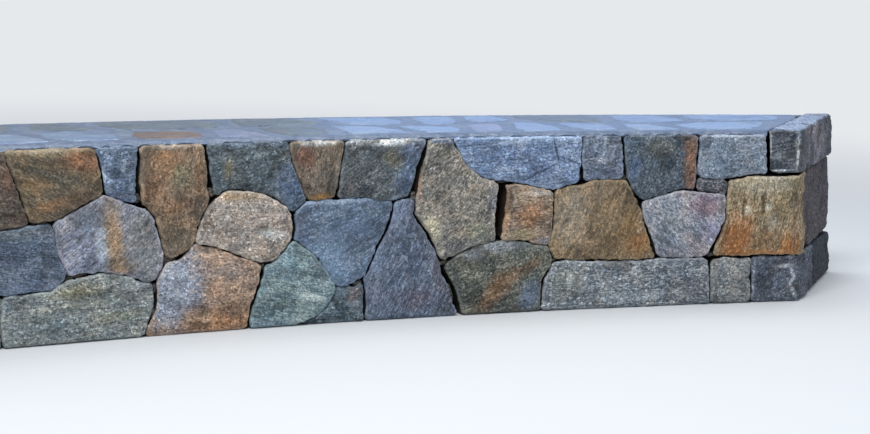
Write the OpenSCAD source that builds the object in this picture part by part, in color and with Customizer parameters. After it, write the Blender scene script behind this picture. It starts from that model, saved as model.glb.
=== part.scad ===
// Dry stone garden wall on a gentle curve: fitted face stones, quoins, hearting, rough back, flagged top.
// Millimetres, +Z up, front face towards -Y, origin on the ground at the middle of the wall.

/* [Wall] */
// Length along the foot of the front face
wall_length = 3000; // [2400:10:3600]
// Height to the top of the flags
wall_height = 530; // [450:5:620]
// Thickness from the front face to the back face
wall_thickness = 460; // [430:5:520]
// Radius of the hollow front face
face_radius = 9800; // [8000:100:16000]
// How far each end leans in over the full height
end_lean = 35; // [0:1:60]
// Angle between the front face and the splayed right end
end_splay = 52; // [48:1:70]

/* [Face stones] */
// Depth of the full-size bed that bears on the neighbours
bed_depth = 70; // [50:1:90]
// Depth to the end of the tapered tail
tail_depth = 160; // [140:1:180]
// Width of the broken arris round a face
arris = 7; // [4:0.5:9]
// Depth of the broken arris
arris_depth = 9; // [6:0.5:14]
// Width of the flat where a corner is knocked off
corner_flat = 13; // [11:0.5:18]
// How far the middle of a face swells
face_swell = 6; // [2:0.5:10]
// How much the split face rises and falls round its middle
face_relief = 2; // [0:0.25:3]
// Size of the tail against the face
tail_share = 0.6; // [0.45:0.01:0.7]
// Gap left between stones that bear on each other
stone_gap = 0.4; // [0.3:0.05:0.6]

/* [Quoins] */
// Return of the left base, middle and top quoins along the left end
left_return = [200, 260, 180];
// Return of the middle right quoin
right_return = 60; // [50:1:66]
// Width of the long stones along the right end: base, middle, top
splay_width = [150, 95, 95];
// How far the long stones of the right end stand in from its face: base, middle
end_step = [4, 9];
// Depth of the right base quoin
base_quoin_depth = 190; // [160:1:220]
// Chamfer on the edges of quoins
quoin_chamfer = 8; // [4:0.5:12]

/* [Top] */
// Thickness of the mortar bed with its flags
cap_height = 12; // [10:0.5:16]
// Thickness of a flag
flag_height = 8; // [6:0.5:9]
// Width of mortar between flags
flag_joint = 18; // [10:1:28]
// Drop of the mortar below the flags
mortar_drop = 2; // [0.5:0.5:3]
// Gap round a flag in its pocket
flag_gap = 0.3; // [0.2:0.05:0.5]
// How far the mortar stands back from the faces
mortar_back = 3; // [2:0.5:8]

/* [Hidden] */
stone_top = wall_height - cap_height;
half_gap = stone_gap / 2;
back_depth = wall_thickness - tail_depth - stone_gap;

// Face stones: name, colour, how far it stands proud, outline in mm along and up the face
FACE_STONES = [
    ["base_stone_1", "DimGray", 2,
        [[260, 0], [510, 0], [500, 70], [500, 140], [390, 150], [260, 150]]],
    ["base_stone_2", "#7d8574", 3,
        [[510, 0], [905, 0], [935, 80], [930, 150], [900, 150], [845, 170], [770, 185], [680, 170],
         [635, 145], [500, 140], [500, 70]]],
    ["base_stone_3", "#a88974", 0,
        [[905, 0], [1210, 0], [1220, 60], [1245, 145], [1250, 180], [1220, 190], [1150, 215], [1100, 235],
         [1040, 245], [1000, 210], [960, 205], [930, 150], [935, 80]]],
    ["base_stone_4", "#839a97", 2,
        [[1210, 0], [1355, 0], [1400, 15], [1445, 45], [1465, 75], [1475, 105], [1445, 150],
         [1400, 200], [1350, 235], [1335, 240], [1300, 205], [1275, 180], [1250, 180], [1245, 145],
         [1220, 60]]],
    ["base_stone_5", "#6d7c7b", -2,
        [[1355, 0], [1565, 0], [1560, 120], [1515, 100], [1475, 105], [1465, 75], [1445, 45], [1400, 15]]],
    ["base_stone_6", "#68738a", 1,
        [[1565, 0], [1870, 0], [1840, 80], [1805, 150], [1750, 250], [1715, 300], [1705, 350], [1650, 340],
         [1635, 270], [1600, 205], [1560, 120]]],
    ["base_stone_7", "#665d54", 3,
        [[1870, 0], [2130, 0], [2130, 50], [2135, 100], [2170, 150], [2150, 195], [2100, 200], [2050, 215],
         [1985, 215], [1900, 200], [1850, 180], [1805, 150], [1840, 80]]],
    ["base_stone_8", "#8b918b", 0,
        [[2130, 0], [2695, 0], [2690, 145], [2515, 145], [2300, 145], [2170, 150], [2135, 100], [2130, 50]]],
    ["base_stone_9", "#8f8c86", 2,
        [[2695, 0], [2835, 0], [2835, 145], [2690, 145]]],
    ["middle_stone_1", "#7c756d", 0,
        [[160, 150], [260, 150], [390, 150], [400, 230], [385, 310], [230, 340], [160, 340]]],
    ["middle_stone_2", "#5b6472", 1,
        [[390, 150], [500, 140], [635, 145], [680, 170], [650, 245], [630, 325], [570, 320], [485, 310],
         [385, 310], [400, 230]]],
    ["middle_stone_3", "#7f7a80", 3,
        [[680, 170], [770, 185], [845, 170], [900, 150], [930, 150], [960, 205], [945, 250], [920, 320],
         [895, 350], [870, 360], [775, 390], [630, 325], [650, 245]]],
    ["middle_stone_4", "#a3978c", 4,
        [[1040, 245], [1100, 235], [1150, 215], [1220, 190], [1250, 180], [1275, 180], [1300, 205],
         [1335, 240], [1340, 280], [1335, 320], [1295, 350], [1250, 370], [1200, 385], [1120, 390],
         [1085, 365], [1060, 320], [1050, 290]]],
    ["middle_stone_5", "#626f86", 1,
        [[1335, 240], [1350, 235], [1400, 200], [1445, 150], [1475, 105], [1515, 100], [1560, 120],
         [1600, 205], [1635, 270], [1650, 340], [1550, 350], [1465, 350], [1380, 350], [1335, 320],
         [1340, 280]]],
    ["middle_stone_6", "#a4846c", 3,
        [[1985, 215], [2050, 215], [2100, 200], [2150, 195], [2165, 250], [2165, 360], [2075, 375],
         [1995, 385], [1990, 300]]],
    ["middle_stone_7", "#8e7453", 2,
        [[2150, 195], [2170, 150], [2300, 145], [2515, 145], [2470, 260], [2450, 320], [2405, 390],
         [2255, 380], [2165, 360], [2165, 250]]],
    ["middle_stone_8", "#94909a", 3,
        [[2515, 145], [2690, 145], [2745, 260], [2750, 335], [2640, 350], [2580, 350], [2520, 335],
         [2450, 320], [2470, 260]]],
    ["middle_quoin_right", "#a57b48", 4,
        [[2690, 145], [2835, 145], [3000, 145], [3000, 395], [2890, 395], [2820, 390], [2755, 380],
         [2750, 335], [2745, 260]]],
    ["top_stone_1", "#6f7a80", 1,
        [[230, 340], [385, 310], [345, 410], [335, 518], [230, 518]]],
    ["top_stone_2", "#7c5f4e", 2,
        [[385, 310], [485, 310], [570, 320], [480, 518], [335, 518], [345, 410]]],
    ["top_stone_3", "#80664a", 3,
        [[570, 320], [630, 325], [775, 390], [760, 450], [735, 518], [480, 518]]],
    ["top_stone_4", "#5f6a7c", 0,
        [[775, 390], [870, 360], [865, 518], [735, 518], [760, 450]]],
    ["top_stone_5", "#8d6c4d", 4,
        [[870, 360], [895, 350], [920, 320], [945, 250], [960, 205], [1000, 210], [1040, 245], [1050, 290],
         [1060, 320], [1085, 365], [1075, 440], [1060, 518], [865, 518]]],
    ["top_stone_6", "#5a646a", -1,
        [[1085, 365], [1120, 390], [1200, 385], [1250, 370], [1295, 350], [1335, 320], [1380, 350],
         [1325, 455], [1315, 518], [1060, 518], [1075, 440]]],
    ["top_stone_7", "#7c6852", 2,
        [[1380, 350], [1465, 350], [1480, 445], [1490, 518], [1315, 518], [1325, 455]]],
    ["top_stone_8", "#5f665f", 0,
        [[1465, 350], [1550, 350], [1650, 340], [1705, 350], [1725, 430], [1755, 518], [1490, 518],
         [1480, 445]]],
    ["top_stone_9", "#80776a", 4,
        [[1705, 350], [1715, 300], [1750, 250], [1805, 150], [1850, 180], [1900, 200], [1985, 215],
         [1990, 300], [1995, 385], [1930, 400], [1870, 445], [1825, 518], [1755, 518], [1725, 430]]],
    ["top_stone_10", "#6d7e9a", 2,
        [[1995, 385], [2075, 375], [2165, 360], [2255, 380], [2255, 518], [1825, 518], [1870, 445],
         [1930, 400]]],
    ["top_stone_11", "#70767c", 0,
        [[2255, 380], [2405, 390], [2390, 518], [2255, 518]]],
    ["top_stone_12", "#565f66", 2,
        [[2405, 390], [2450, 320], [2520, 335], [2580, 350], [2640, 350], [2645, 390], [2650, 518],
         [2390, 518]]],
    ["top_stone_13", "#7e858c", 3,
        [[2645, 390], [2755, 380], [2820, 390], [2890, 395], [2885, 518], [2650, 518]]],
    ["pinning_stone", "#5c5a56", -2,
        [[2640, 350], [2750, 335], [2755, 380], [2645, 390]]],
];

// Bed joints of the quoins, up the face
BED_1 = 150;
BED_2 = 340;
RIGHT_BED_1 = 145;
RIGHT_BED_2 = 395;
// Widths of the left quoins on the front, and where the right ones begin
LEFT_QUOINS = [260, 160, 230];
RIGHT_BASE_FROM = 2835;
RIGHT_TOP_FROM = 2887;

// The outlines above are drawn on a face of this length and height
drawn_length = max([for (s = FACE_STONES, p = s[3]) p[0]]);
drawn_height = max([for (s = FACE_STONES, p = s[3]) p[1]]);
face_scale = [wall_length / drawn_length, stone_top / drawn_height];

// Back: bed lines up the wall, and the joints along each course, measured on the front face
PAST_END = 4000;
BACK_LINES = [
    [[0, 0], [PAST_END, 0]],
    [[0, BED_1], [300, BED_1], [500, 172], [700, 141], [980, 166], [1250, 138], [1500, 160], [1750, 171],
     [2050, 139], [2350, 163], [2600, 147], [2780, BED_1], [PAST_END, BED_1]],
    [[0, BED_2], [290, BED_2], [560, 322], [830, 352], [1100, 330], [1380, 358], [1660, 336], [1950, 349],
     [2200, 324], [2480, 355], [2680, 337], [2780, BED_2], [PAST_END, BED_2]],
    [[0, drawn_height], [PAST_END, drawn_height]],
];
BACK_JOINTS = [
    [220, 520, 745, 1120, 1370, 1700, 1990, 2330, 2600, 2900],
    [270, 465, 800, 1050, 1330, 1560, 1900, 2130, 2470, 2790],
    [200, 560, 860, 1180, 1450, 1800, 2060, 2400, 2660, 2860],
];
// How the joints lean and how far the stones stand proud, dealt out in turn
BACK_SLANTS = [14, -9, 22, -16];
BACK_PROUD = [0, 3, 1, 4, 2];

// Flags: joints along the wall in each of two rows, and how far the line between the rows wanders
FLAG_JOINTS = [
    [30, 240, 430, 640, 880, 1110, 1290, 1510, 1720, 1920, 2080, 2250, 2440, 2620],
    [30, 210, 450, 660, 870, 1270, 1560, 1830, 2000, 2180, 2490, 2760],
];
FLAG_ROWS = [0.05, 0.5, 0.95];
FLAG_SLANTS = [58, -44, 16, -66, 34];
ROW_WANDER = 30;
OUTER_WANDER = 3;
WANDER_TURN = 0.47;
ROW_PHASE = 130;
// Mortar left between the last flags and the right quoin
END_MARGIN = 24;
// Round the edge of a flag: where each point lies in its cell, along and across
FLAG_POINTS = [[0.01, 0.5], [0.09, 0.06], [0.5, 0], [0.92, 0.08], [0.99, 0.5], [0.9, 0.93], [0.5, 1],
    [0.1, 0.94]];
// How far each point is then pulled in, and how that turns with the row, the flag and the point
FLAG_PULL = 0.09;
FLAG_TURNS = [639, 333, 477];

// A corner that turns less than this, in degrees, isn't knocked off, nor more than this share of a side
SHARP_TURN = 30;
CUT_LIMIT = 0.36;
// Below this sine two sides count as straight on
STRAIGHT_ON = 0.08;
// What lies this near the ground or the right end is on it
EDGE = 1;
// Ring on the swelling face: its size, its share of the swell, and the turn of its relief
SWELL_SIZE = 0.55;
SWELL_SHARE = 0.8;
RELIEF_TURN = 137;
// Shoulder of a tail: its share of the way in, and the least step that it takes
SHOULDER_PLACE = 0.5;
SHOULDER_STEP = 2;
// Hearting: blocks, steps round the curve of each, and where it starts and ends along the wall
HEART_BLOCKS = 5;
HEART_STEPS = 6;
HEART_FROM = 300;
HEART_TO = 2800;
// Steps along the edge of the mortar bed
CAP_STEPS = 30;

// Turning from degrees to arc length on the front face
function arc_angle(along) = along / face_radius * 180 / PI;
// A point of the wall: u along the front face from the left end, d into the wall, z up
function lean_in(u, z) = (u - wall_length / 2) * (1 - 2 * end_lean / wall_length * z / wall_height);
function wall_point(u, d, z) =
    let (a = arc_angle(lean_in(u, z)), r = face_radius + d)
    [r * sin(a), r * cos(a) - face_radius - wall_thickness / 2, z];
// A point near the splayed end: e in from the end face along the front, d into the wall
function end_point(e, d, z) =
    let (a = arc_angle(wall_length / 2), c = wall_point(wall_length, 0, z),
         run = -e + d / tan(end_splay))
    [c[0] + run * cos(a) + d * sin(a), c[1] - run * sin(a) + d * cos(a), z];
// A corner of a quoin: kind 0 is measured along the face, kind 1 from the splayed end
function corner(p, z) = p[0] == 0 ? wall_point(p[1], p[2], z) : end_point(p[1], p[2], z);

function face_mm(p) = [p[0] * face_scale[0], p[1] * face_scale[1]];
function middle_of(pts) = [for (k = [0, 1]) sum([for (p = pts) p[k]]) / len(pts)];
function sum(list, i = 0) = i < len(list) ? list[i] + sum(list, i + 1) : 0;
function mix(a, b, share) = a + (b - a) * share;
function pick(list, i) = list[i % len(list)];
function next(i, n) = (i + 1) % n;
function prev(i, n) = (i + n - 1) % n;
function inward(a, b) = let (v = b - a, l = norm(v)) [-v[1], v[0]] / l;
// Outline moved in by one distance for each side, the outline running anticlockwise
function inset(pts, dist) =
    let (n = len(pts))
    [for (i = [0 : n - 1])
        let (p = pts[i], a = inward(pts[prev(i, n)], p), b = inward(p, pts[next(i, n)]),
             da = dist[prev(i, n)], db = dist[i], det = a[0] * b[1] - a[1] * b[0])
        abs(det) < STRAIGHT_ON ? p + (a + b) / 2 * max(da, db)
            : p + [(da * b[1] - db * a[1]) / det, (a[0] * db - b[0] * da) / det]];
function same(value, n) = [for (i = [0 : n - 1]) value];
// Sharp corners knocked off to a flat, those on the right end left whole
function turn_at(a, p, b) =
    let (v = p - a, w = b - p) acos(max(-1, min(1, v * w / norm(v) / norm(w))));
function knocked(pts) =
    let (n = len(pts))
    [for (i = [0 : n - 1])
        let (p = pts[i], a = pts[prev(i, n)], b = pts[next(i, n)], turn = turn_at(a, p, b))
        each turn < SHARP_TURN || at_end(p) ? [p]
            : let (cut = corner_flat / 2 / cos(turn / 2))
              [p + (a - p) / norm(a - p) * min(cut, norm(a - p) * CUT_LIMIT),
               p + (b - p) / norm(b - p) * min(cut, norm(b - p) * CUT_LIMIT)]];
function shrink(pts, share) = let (m = middle_of(pts)) [for (p = pts) m + (p - m) * share];
// Sides on the ground or on the right end keep their place
function on_ground(p) = p[1] < EDGE;
function at_end(p) = p[0] > wall_length - EDGE;
function on_edge(a, b) = (on_ground(a) && on_ground(b)) || (at_end(a) && at_end(b));
function bearing_gaps(pts) =
    let (n = len(pts)) [for (i = [0 : n - 1]) on_edge(pts[i], pts[next(i, n)]) ? 0 : half_gap];

// Two triangles between rings, split the same way on both stones of a joint
function band(pts, a, b) =
    let (n = len(pts))
    [for (i = [0 : n - 1])
        let (j = next(i, n), level = pts[i][0] == pts[j][0],
             rising = level ? pts[i][1] < pts[j][1] : pts[i][0] < pts[j][0])
        each rising ? [[a + i, a + j, b + j], [a + i, b + j, b + i]]
                    : [[a + i, a + j, b + i], [a + j, b + j, b + i]]];

// One stone of the front or back face, built from rings that go into the wall
module face_stone(outline, proud, back = false, bed = bed_depth, shoulder_place = SHOULDER_PLACE) {
    given = knocked([for (p = outline) face_mm(p)]);
    pts = back ? [for (i = [len(given) - 1 : -1 : 0]) given[i]] : given;
    n = len(pts);
    // On the back the outline runs clockwise from the front, so insets change sign
    turn = back ? -1 : 1;
    full = inset(pts, bearing_gaps(pts) * turn);
    face = inset(pts, same(arris * turn, n));
    shoulder_share = (1 + tail_share) / 2;
    tail = shrink(full, tail_share);
    shoulder = shoulder_place > 0 ? shrink(full, shoulder_share) : tail;
    shoulder_at = max(bed + SHOULDER_STEP, mix(bed, tail_depth, shoulder_place));
    rings = [
        [shrink(face, SWELL_SIZE), -proud - face_swell * SWELL_SHARE],
        [face, -proud],
        [full, arris_depth],
        [full, bed],
        [shoulder, shoulder_at],
        [tail, tail_depth],
    ];
    function at(p, k) =
        let (d = back ? wall_thickness - k : k)
        at_end(p) && !back ? end_point(wall_length - p[0], d, p[1]) : wall_point(p[0], d, p[1]);
    function relief(i) = face_relief * sin(pts[0][0] + i * RELIEF_TURN);
    points = concat(
        [for (i = [0 : n - 1]) at(rings[0][0][i], rings[0][1] + relief(i))],
        [for (k = [1 : len(rings) - 1]) each [for (p = rings[k][0]) at(p, rings[k][1])]],
        [at(middle_of(face), -proud - face_swell), at(middle_of(tail), tail_depth)]);
    front_mid = len(rings) * n;
    tail_first = front_mid - n;
    faces = concat(
        [for (i = [0 : n - 1]) [front_mid, next(i, n), i]],
        [for (k = [0 : len(rings) - 2]) each band(pts, k * n, (k + 1) * n)],
        [for (i = [0 : n - 1]) [front_mid + 1, tail_first + i, tail_first + next(i, n)]]);
    polyhedron(points, faces);
}

// A squared stone: corners in plan, anticlockwise from above, between two heights
function cut_corners(pts, c) =
    let (n = len(pts))
    [for (i = [0 : n - 1])
        let (p = pts[i], a = pts[prev(i, n)] - p, b = pts[next(i, n)] - p)
        each [p + a / norm(a) * c, p + b / norm(b) * c]];
module squared_stone(corners, low, high) {
    function ring(z, in) =
        let (flat = [for (p = corners) let (q = corner(p, z)) [q[0], q[1]]])
        [for (p = cut_corners(inset(flat, same(in + half_gap, len(flat))), quoin_chamfer)) [p[0], p[1], z]];
    rings = [ring(low, quoin_chamfer), ring(low + quoin_chamfer, 0), ring(high - quoin_chamfer, 0),
             ring(high, quoin_chamfer)];
    n = len(rings[0]);
    low_mid = middle_of(rings[0]);
    high_mid = middle_of(rings[3]);
    points = concat([for (r = rings) each r],
        [[low_mid[0], low_mid[1], low], [high_mid[0], high_mid[1], high]]);
    faces = concat(
        [for (i = [0 : n - 1]) [4 * n, i, next(i, n)]],
        [for (k = [0 : 2], i = [0 : n - 1]) let (j = next(i, n), a = k * n, b = a + n)
            each [[a + j, a + i, b + i], [a + j, b + i, b + j]]],
        [for (i = [0 : n - 1]) [4 * n + 1, 3 * n + next(i, n), 3 * n + i]]);
    polyhedron(points, faces);
}

function up(z) = z * face_scale[1];
function along(u) = u * face_scale[0];
left_beds = [0, up(BED_1), up(BED_2), stone_top];
right_beds = [0, up(RIGHT_BED_1), up(RIGHT_BED_2), stone_top];

module left_quoin(i) {
    w = along(LEFT_QUOINS[i]);
    low = left_beds[i] + (i > 0 ? half_gap : 0);
    squared_stone([[0, 0, 0], [0, w, 0], [0, w, left_return[i]], [0, 0, left_return[i]]],
        low, left_beds[i + 1] - half_gap);
}
module base_quoin_right() {
    e = wall_length - along(RIGHT_BASE_FROM);
    d = base_quoin_depth;
    squared_stone([[1, e, 0], [1, 0, 0], [1, 0, d], [1, e + d / tan(end_splay), d]],
        0, right_beds[1] - half_gap);
}
module top_quoin_right() {
    e = wall_length - along(RIGHT_TOP_FROM);
    squared_stone([[1, e, 0], [1, 0, 0], [1, 0, wall_thickness], [1, splay_width[2], wall_thickness]],
        right_beds[2] + half_gap, wall_height);
}
module end_stone(i, from_depth) {
    w = splay_width[i];
    e = end_step[i];
    squared_stone([[1, w, from_depth], [1, e, from_depth], [1, e, wall_thickness], [1, w, wall_thickness]],
        right_beds[i] + (i > 0 ? half_gap : 0), right_beds[i + 1] - half_gap);
}

// One rough course of the back: a quoin at each end and stones between, their beds on the bed lines
function joint_slant(i, k, last) = k == 0 || k == last ? 0 : pick(BACK_SLANTS, i + k);
function bed_points(line, a, b) =
    concat([[a, lookup(a, line)]], [for (p = line) if (p[0] > a && p[0] < b) p], [[b, lookup(b, line)]]);
function reversed(list) = [for (i = [len(list) - 1 : -1 : 0]) list[i]];
module back_course(i) {
    joints = BACK_JOINTS[i];
    last = len(joints) - 1;
    low = BACK_LINES[i];
    high = BACK_LINES[i + 1];
    for (k = [0 : last - 1]) {
        sa = joint_slant(i, k, last);
        sb = joint_slant(i, k + 1, last);
        face_stone(concat(bed_points(low, joints[k] + sa, joints[k + 1] + sb),
                reversed(bed_points(high, joints[k] - sa, joints[k + 1] - sb))),
            pick(BACK_PROUD, i + k * 2), back = true);
    }
    bottom = up(low[0][1]) + (i > 0 ? half_gap : 0);
    top = up(high[0][1]) - half_gap;
    first = along(joints[0]);
    squared_stone([[0, 0, left_return[i]], [0, first, left_return[i]],
        [0, first, wall_thickness], [0, 0, wall_thickness]], bottom, top);
    from = along(joints[last]);
    inner = wall_thickness - tail_depth;
    squared_stone([[0, from, inner], [1, splay_width[i], inner],
        [1, splay_width[i], wall_thickness], [0, from, wall_thickness]], bottom, top);
}

// Packed small stone between the two faces, in blocks with a hairline between them
module hearting() {
    color("#5a544c")
    for (b = [0 : HEART_BLOCKS - 1]) {
        from = along(HEART_FROM + (HEART_TO - HEART_FROM) * b / HEART_BLOCKS) + half_gap;
        to = along(HEART_FROM + (HEART_TO - HEART_FROM) * (b + 1) / HEART_BLOCKS) - half_gap;
        steps = [for (s = [0 : HEART_STEPS]) from + (to - from) * s / HEART_STEPS];
        plan = concat(
            [for (u = steps) let (p = wall_point(u, tail_depth + stone_gap, 0)) [p[0], p[1]]],
            [for (k = [HEART_STEPS : -1 : 0]) let (p = wall_point(steps[k], back_depth, 0)) [p[0], p[1]]]);
        linear_extrude(height = stone_top - half_gap)
            polygon(plan);
    }
}

// Top: the bed runs up to the right quoin, which stands to the full height
function flat_point(u, d) = let (p = wall_point(u, d, wall_height)) [p[0], p[1]];
function end_flat(e, d) = let (p = end_point(e, d, wall_height)) [p[0], p[1]];
quoin_top_width = wall_length - along(RIGHT_TOP_FROM);
function quoin_side(d) = mix(quoin_top_width, splay_width[2], d / wall_thickness) + stone_gap;
// How far along the front face a point of the quoin's side lies
function top_end(d) =
    wall_length + (d / tan(end_splay) - quoin_side(d)) * face_radius / (face_radius + d);
function cap_plan(in) =
    let (back = wall_thickness - in)
    concat(
        [for (s = [0 : CAP_STEPS - 1]) flat_point(mix(in, top_end(in), s / CAP_STEPS), in)],
        [end_flat(quoin_side(in), in), end_flat(quoin_side(back), back)],
        [for (s = [CAP_STEPS - 1 : -1 : 0]) flat_point(mix(in, top_end(back), s / CAP_STEPS), back)]);
// Line between two rows of flags
function row_line(r, u) =
    let (wander = r == 0 || r == len(FLAG_ROWS) - 1 ? OUTER_WANDER : ROW_WANDER)
    FLAG_ROWS[r] * wall_thickness + wander * sin(u * WANDER_TURN + r * ROW_PHASE);
function row_joints(r) = concat(FLAG_JOINTS[r], [top_end(row_line(r, 0)) / face_scale[0] - END_MARGIN]);
function joint_u(r, k, across) =
    let (joints = row_joints(r), inner = k > 0 && k < len(joints) - 1,
         far = top_end(row_line(r + 1, 0)) / face_scale[0] - END_MARGIN)
    inner ? joints[k] + pick(FLAG_SLANTS, r * 2 + k) * (across - 0.5)
        : k == 0 ? joints[0] : mix(joints[k], far, across);
function flag_outline(r, k) =
    [for (j = [0 : len(FLAG_POINTS) - 1])
        let (f = FLAG_POINTS[j], pull = FLAG_PULL * (1 + sin(FLAG_TURNS * [r, k, j])) / 2,
             s = mix(f[0], 0.5, pull), t = mix(f[1], 0.5, pull),
             u = mix(joint_u(r, k, t), joint_u(r, k + 1, t), s))
        flat_point(along(u), mix(row_line(r, u), row_line(r + 1, u), t))];
module flag_cells(in) {
    for (r = [0 : len(FLAG_JOINTS) - 1], k = [0 : len(FLAG_JOINTS[r]) - 1])
        polygon(inset(flag_outline(r, k), same(in, len(FLAG_POINTS))));
}

// Mortar bed with a pocket for each flag
module cap_mortar() {
    low = stone_top + half_gap;
    color("#77798c")
    difference() {
        translate([0, 0, low])
            linear_extrude(height = wall_height - mortar_drop - low)
                polygon(cap_plan(mortar_back));
        translate([0, 0, wall_height - flag_height])
            linear_extrude(height = flag_height)
                flag_cells(flag_joint / 2);
    }
}
module cap_flags() {
    color("#8492ad")
    translate([0, 0, wall_height - flag_height + flag_gap])
        linear_extrude(height = flag_height - flag_gap)
            flag_cells(flag_joint / 2 + flag_gap);
}

for (s = FACE_STONES)
    color(s[1])
        face_stone(s[3], s[2],
            bed = s[0] == "middle_quoin_right" ? right_return : bed_depth,
            shoulder_place = s[0] == "middle_quoin_right" ? 0 : SHOULDER_PLACE);
color("#6b7078") left_quoin(0);  // base_quoin_left
color("#86705a") left_quoin(1);  // middle_quoin_left
color("#666f7a") left_quoin(2);  // top_quoin_left
color("#4b4f55") base_quoin_right();
color("#50545a") top_quoin_right();
color("#3f444c") end_stone(0, base_quoin_depth);  // end_base_stone
color("#47484c") end_stone(1, right_return);  // end_middle_stone
color("#74756f") back_course(0);  // back_base_course
color("#6f6a66") back_course(1);  // back_middle_course
color("#6a7076") back_course(2);  // back_top_course
hearting();
cap_mortar();
cap_flags();
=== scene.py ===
import math
import time
from functools import partial

import bmesh
import bpy
import numpy as np
from mathutils import Matrix, Vector


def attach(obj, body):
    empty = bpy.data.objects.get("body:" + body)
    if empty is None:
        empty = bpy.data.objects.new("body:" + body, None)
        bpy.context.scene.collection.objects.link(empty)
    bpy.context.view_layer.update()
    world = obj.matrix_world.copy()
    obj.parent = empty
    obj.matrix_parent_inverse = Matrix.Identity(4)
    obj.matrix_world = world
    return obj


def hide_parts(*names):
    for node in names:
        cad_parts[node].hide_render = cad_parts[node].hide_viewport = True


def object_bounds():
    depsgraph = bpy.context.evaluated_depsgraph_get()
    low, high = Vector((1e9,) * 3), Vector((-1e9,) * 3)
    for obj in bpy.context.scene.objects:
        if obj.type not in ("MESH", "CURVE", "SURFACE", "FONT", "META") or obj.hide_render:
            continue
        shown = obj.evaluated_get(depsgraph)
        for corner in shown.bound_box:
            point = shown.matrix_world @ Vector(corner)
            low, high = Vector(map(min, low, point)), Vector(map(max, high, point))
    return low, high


started = time.time()
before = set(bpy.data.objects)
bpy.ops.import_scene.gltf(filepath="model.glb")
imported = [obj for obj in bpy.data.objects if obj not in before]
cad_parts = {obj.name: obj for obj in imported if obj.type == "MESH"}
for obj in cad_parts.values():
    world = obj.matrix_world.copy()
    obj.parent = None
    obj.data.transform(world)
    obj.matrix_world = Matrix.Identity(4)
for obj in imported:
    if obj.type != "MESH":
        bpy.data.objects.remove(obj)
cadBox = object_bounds()

# The wall's own measures, from which every place along it is worked out
wall = {
    "length": 3.0,
    "height": 0.53,
    "thickness": 0.46,
    "faceRadius": 9.8,
    "endLean": 0.035,
    "endSplay": math.radians(52),
    "stoneTop": 0.518,
    "flagSeat": 0.522,
}
faceCentreY = -wall["faceRadius"] - wall["thickness"] / 2
wallMiddle = Vector((0, 0, 0.26))


def say(stage):
    print(f"{time.time() - started:6.1f} s  {stage}")


# How much shorter the wall is at a height than at its foot, because its ends lean in
def leanAt(high):
    return 1 - 2 * wall["endLean"] / wall["length"] * high / wall["height"]


# A place on the wall, from how far along, how deep and how high it is
def wallAngle(along, high):
    return (along - wall["length"] / 2) * leanAt(high) / wall["faceRadius"]


def wallPoint(along, deep, high):
    angle = wallAngle(along, high)
    radius = wall["faceRadius"] + deep
    return Vector((radius * math.sin(angle), radius * math.cos(angle) + faceCentreY, high))


def smoothStep(value, low, high):
    t = np.clip((value - low) / (high - low), 0, 1)
    return t * t * (3 - 2 * t)


# A place in the noise for each seed, from a step and a span on each axis
def shiftOf(seed, steps):
    return tuple(seed * step % span for step, span in steps)


def toLinear(hexColour):
    value = int(hexColour.lstrip("#"), 16)
    parts = [(value >> shift & 255) / 255 for shift in (16, 8, 0)]
    return [c / 12.92 if c < 0.04045 else ((c + 0.055) / 1.055) ** 2.4 for c in parts] + [1.0]


# A node with its settings, values and links: a node given as a value is read at its first live output,
# and a key of several socket names takes as many values
def addNode(tree, kind, inputs=None, **settings):
    node = tree.nodes.new(kind)
    for key, value in settings.items():
        setattr(node, key, value)
    for keys, values in (inputs or {}).items():
        if not isinstance(keys, tuple):
            keys, values = (keys,), (values,)
        for key, value in zip(keys, values):
            if isinstance(value, bpy.types.Node):
                value = next(socket for socket in value.outputs if socket.enabled)
            if isinstance(value, bpy.types.NodeSocket):
                tree.links.new(value, node.inputs[key])
            else:
                node.inputs[key].default_value = value
    return node


fromEnds = ("From Min", "From Max")
toEnds = ("To Min", "To Max")
halfWay = (0.5, 0.5, 0.5)

# Camera: where the photograph was taken from, found from the wall's edges
shot = {
    "place": (-2.536, -5.570, 1.242),
    "headingDegrees": 27.77,  # from +Y towards +X
    "downDegrees": 8.96,
    "rollDegrees": 2.30,
    "focalPixels": 2150,
    "framePixels": 870,
}


def makeCamera():
    heading, down, roll = (math.radians(shot[k]) for k in ("headingDegrees", "downDegrees", "rollDegrees"))
    ahead = Vector((
        math.sin(heading) * math.cos(down), math.cos(heading) * math.cos(down), -math.sin(down)))
    right = Vector((math.cos(heading), -math.sin(heading), 0))
    below = ahead.cross(right)
    c, s = math.cos(roll), math.sin(roll)
    columns = (c * right - s * below, -(s * right + c * below), -ahead)
    data = bpy.data.cameras.new("camera")
    data.sensor_width = 36
    data.lens = shot["focalPixels"] / shot["framePixels"] * data.sensor_width
    camera = bpy.data.objects.new("camera", data)
    turn = Matrix([[col[row] for col in columns] for row in range(3)]).to_4x4()
    camera.matrix_world = Matrix.Translation(shot["place"]) @ turn
    bpy.context.collection.objects.link(camera)
    bpy.context.scene.camera = camera


makeCamera()
say("camera")

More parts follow.
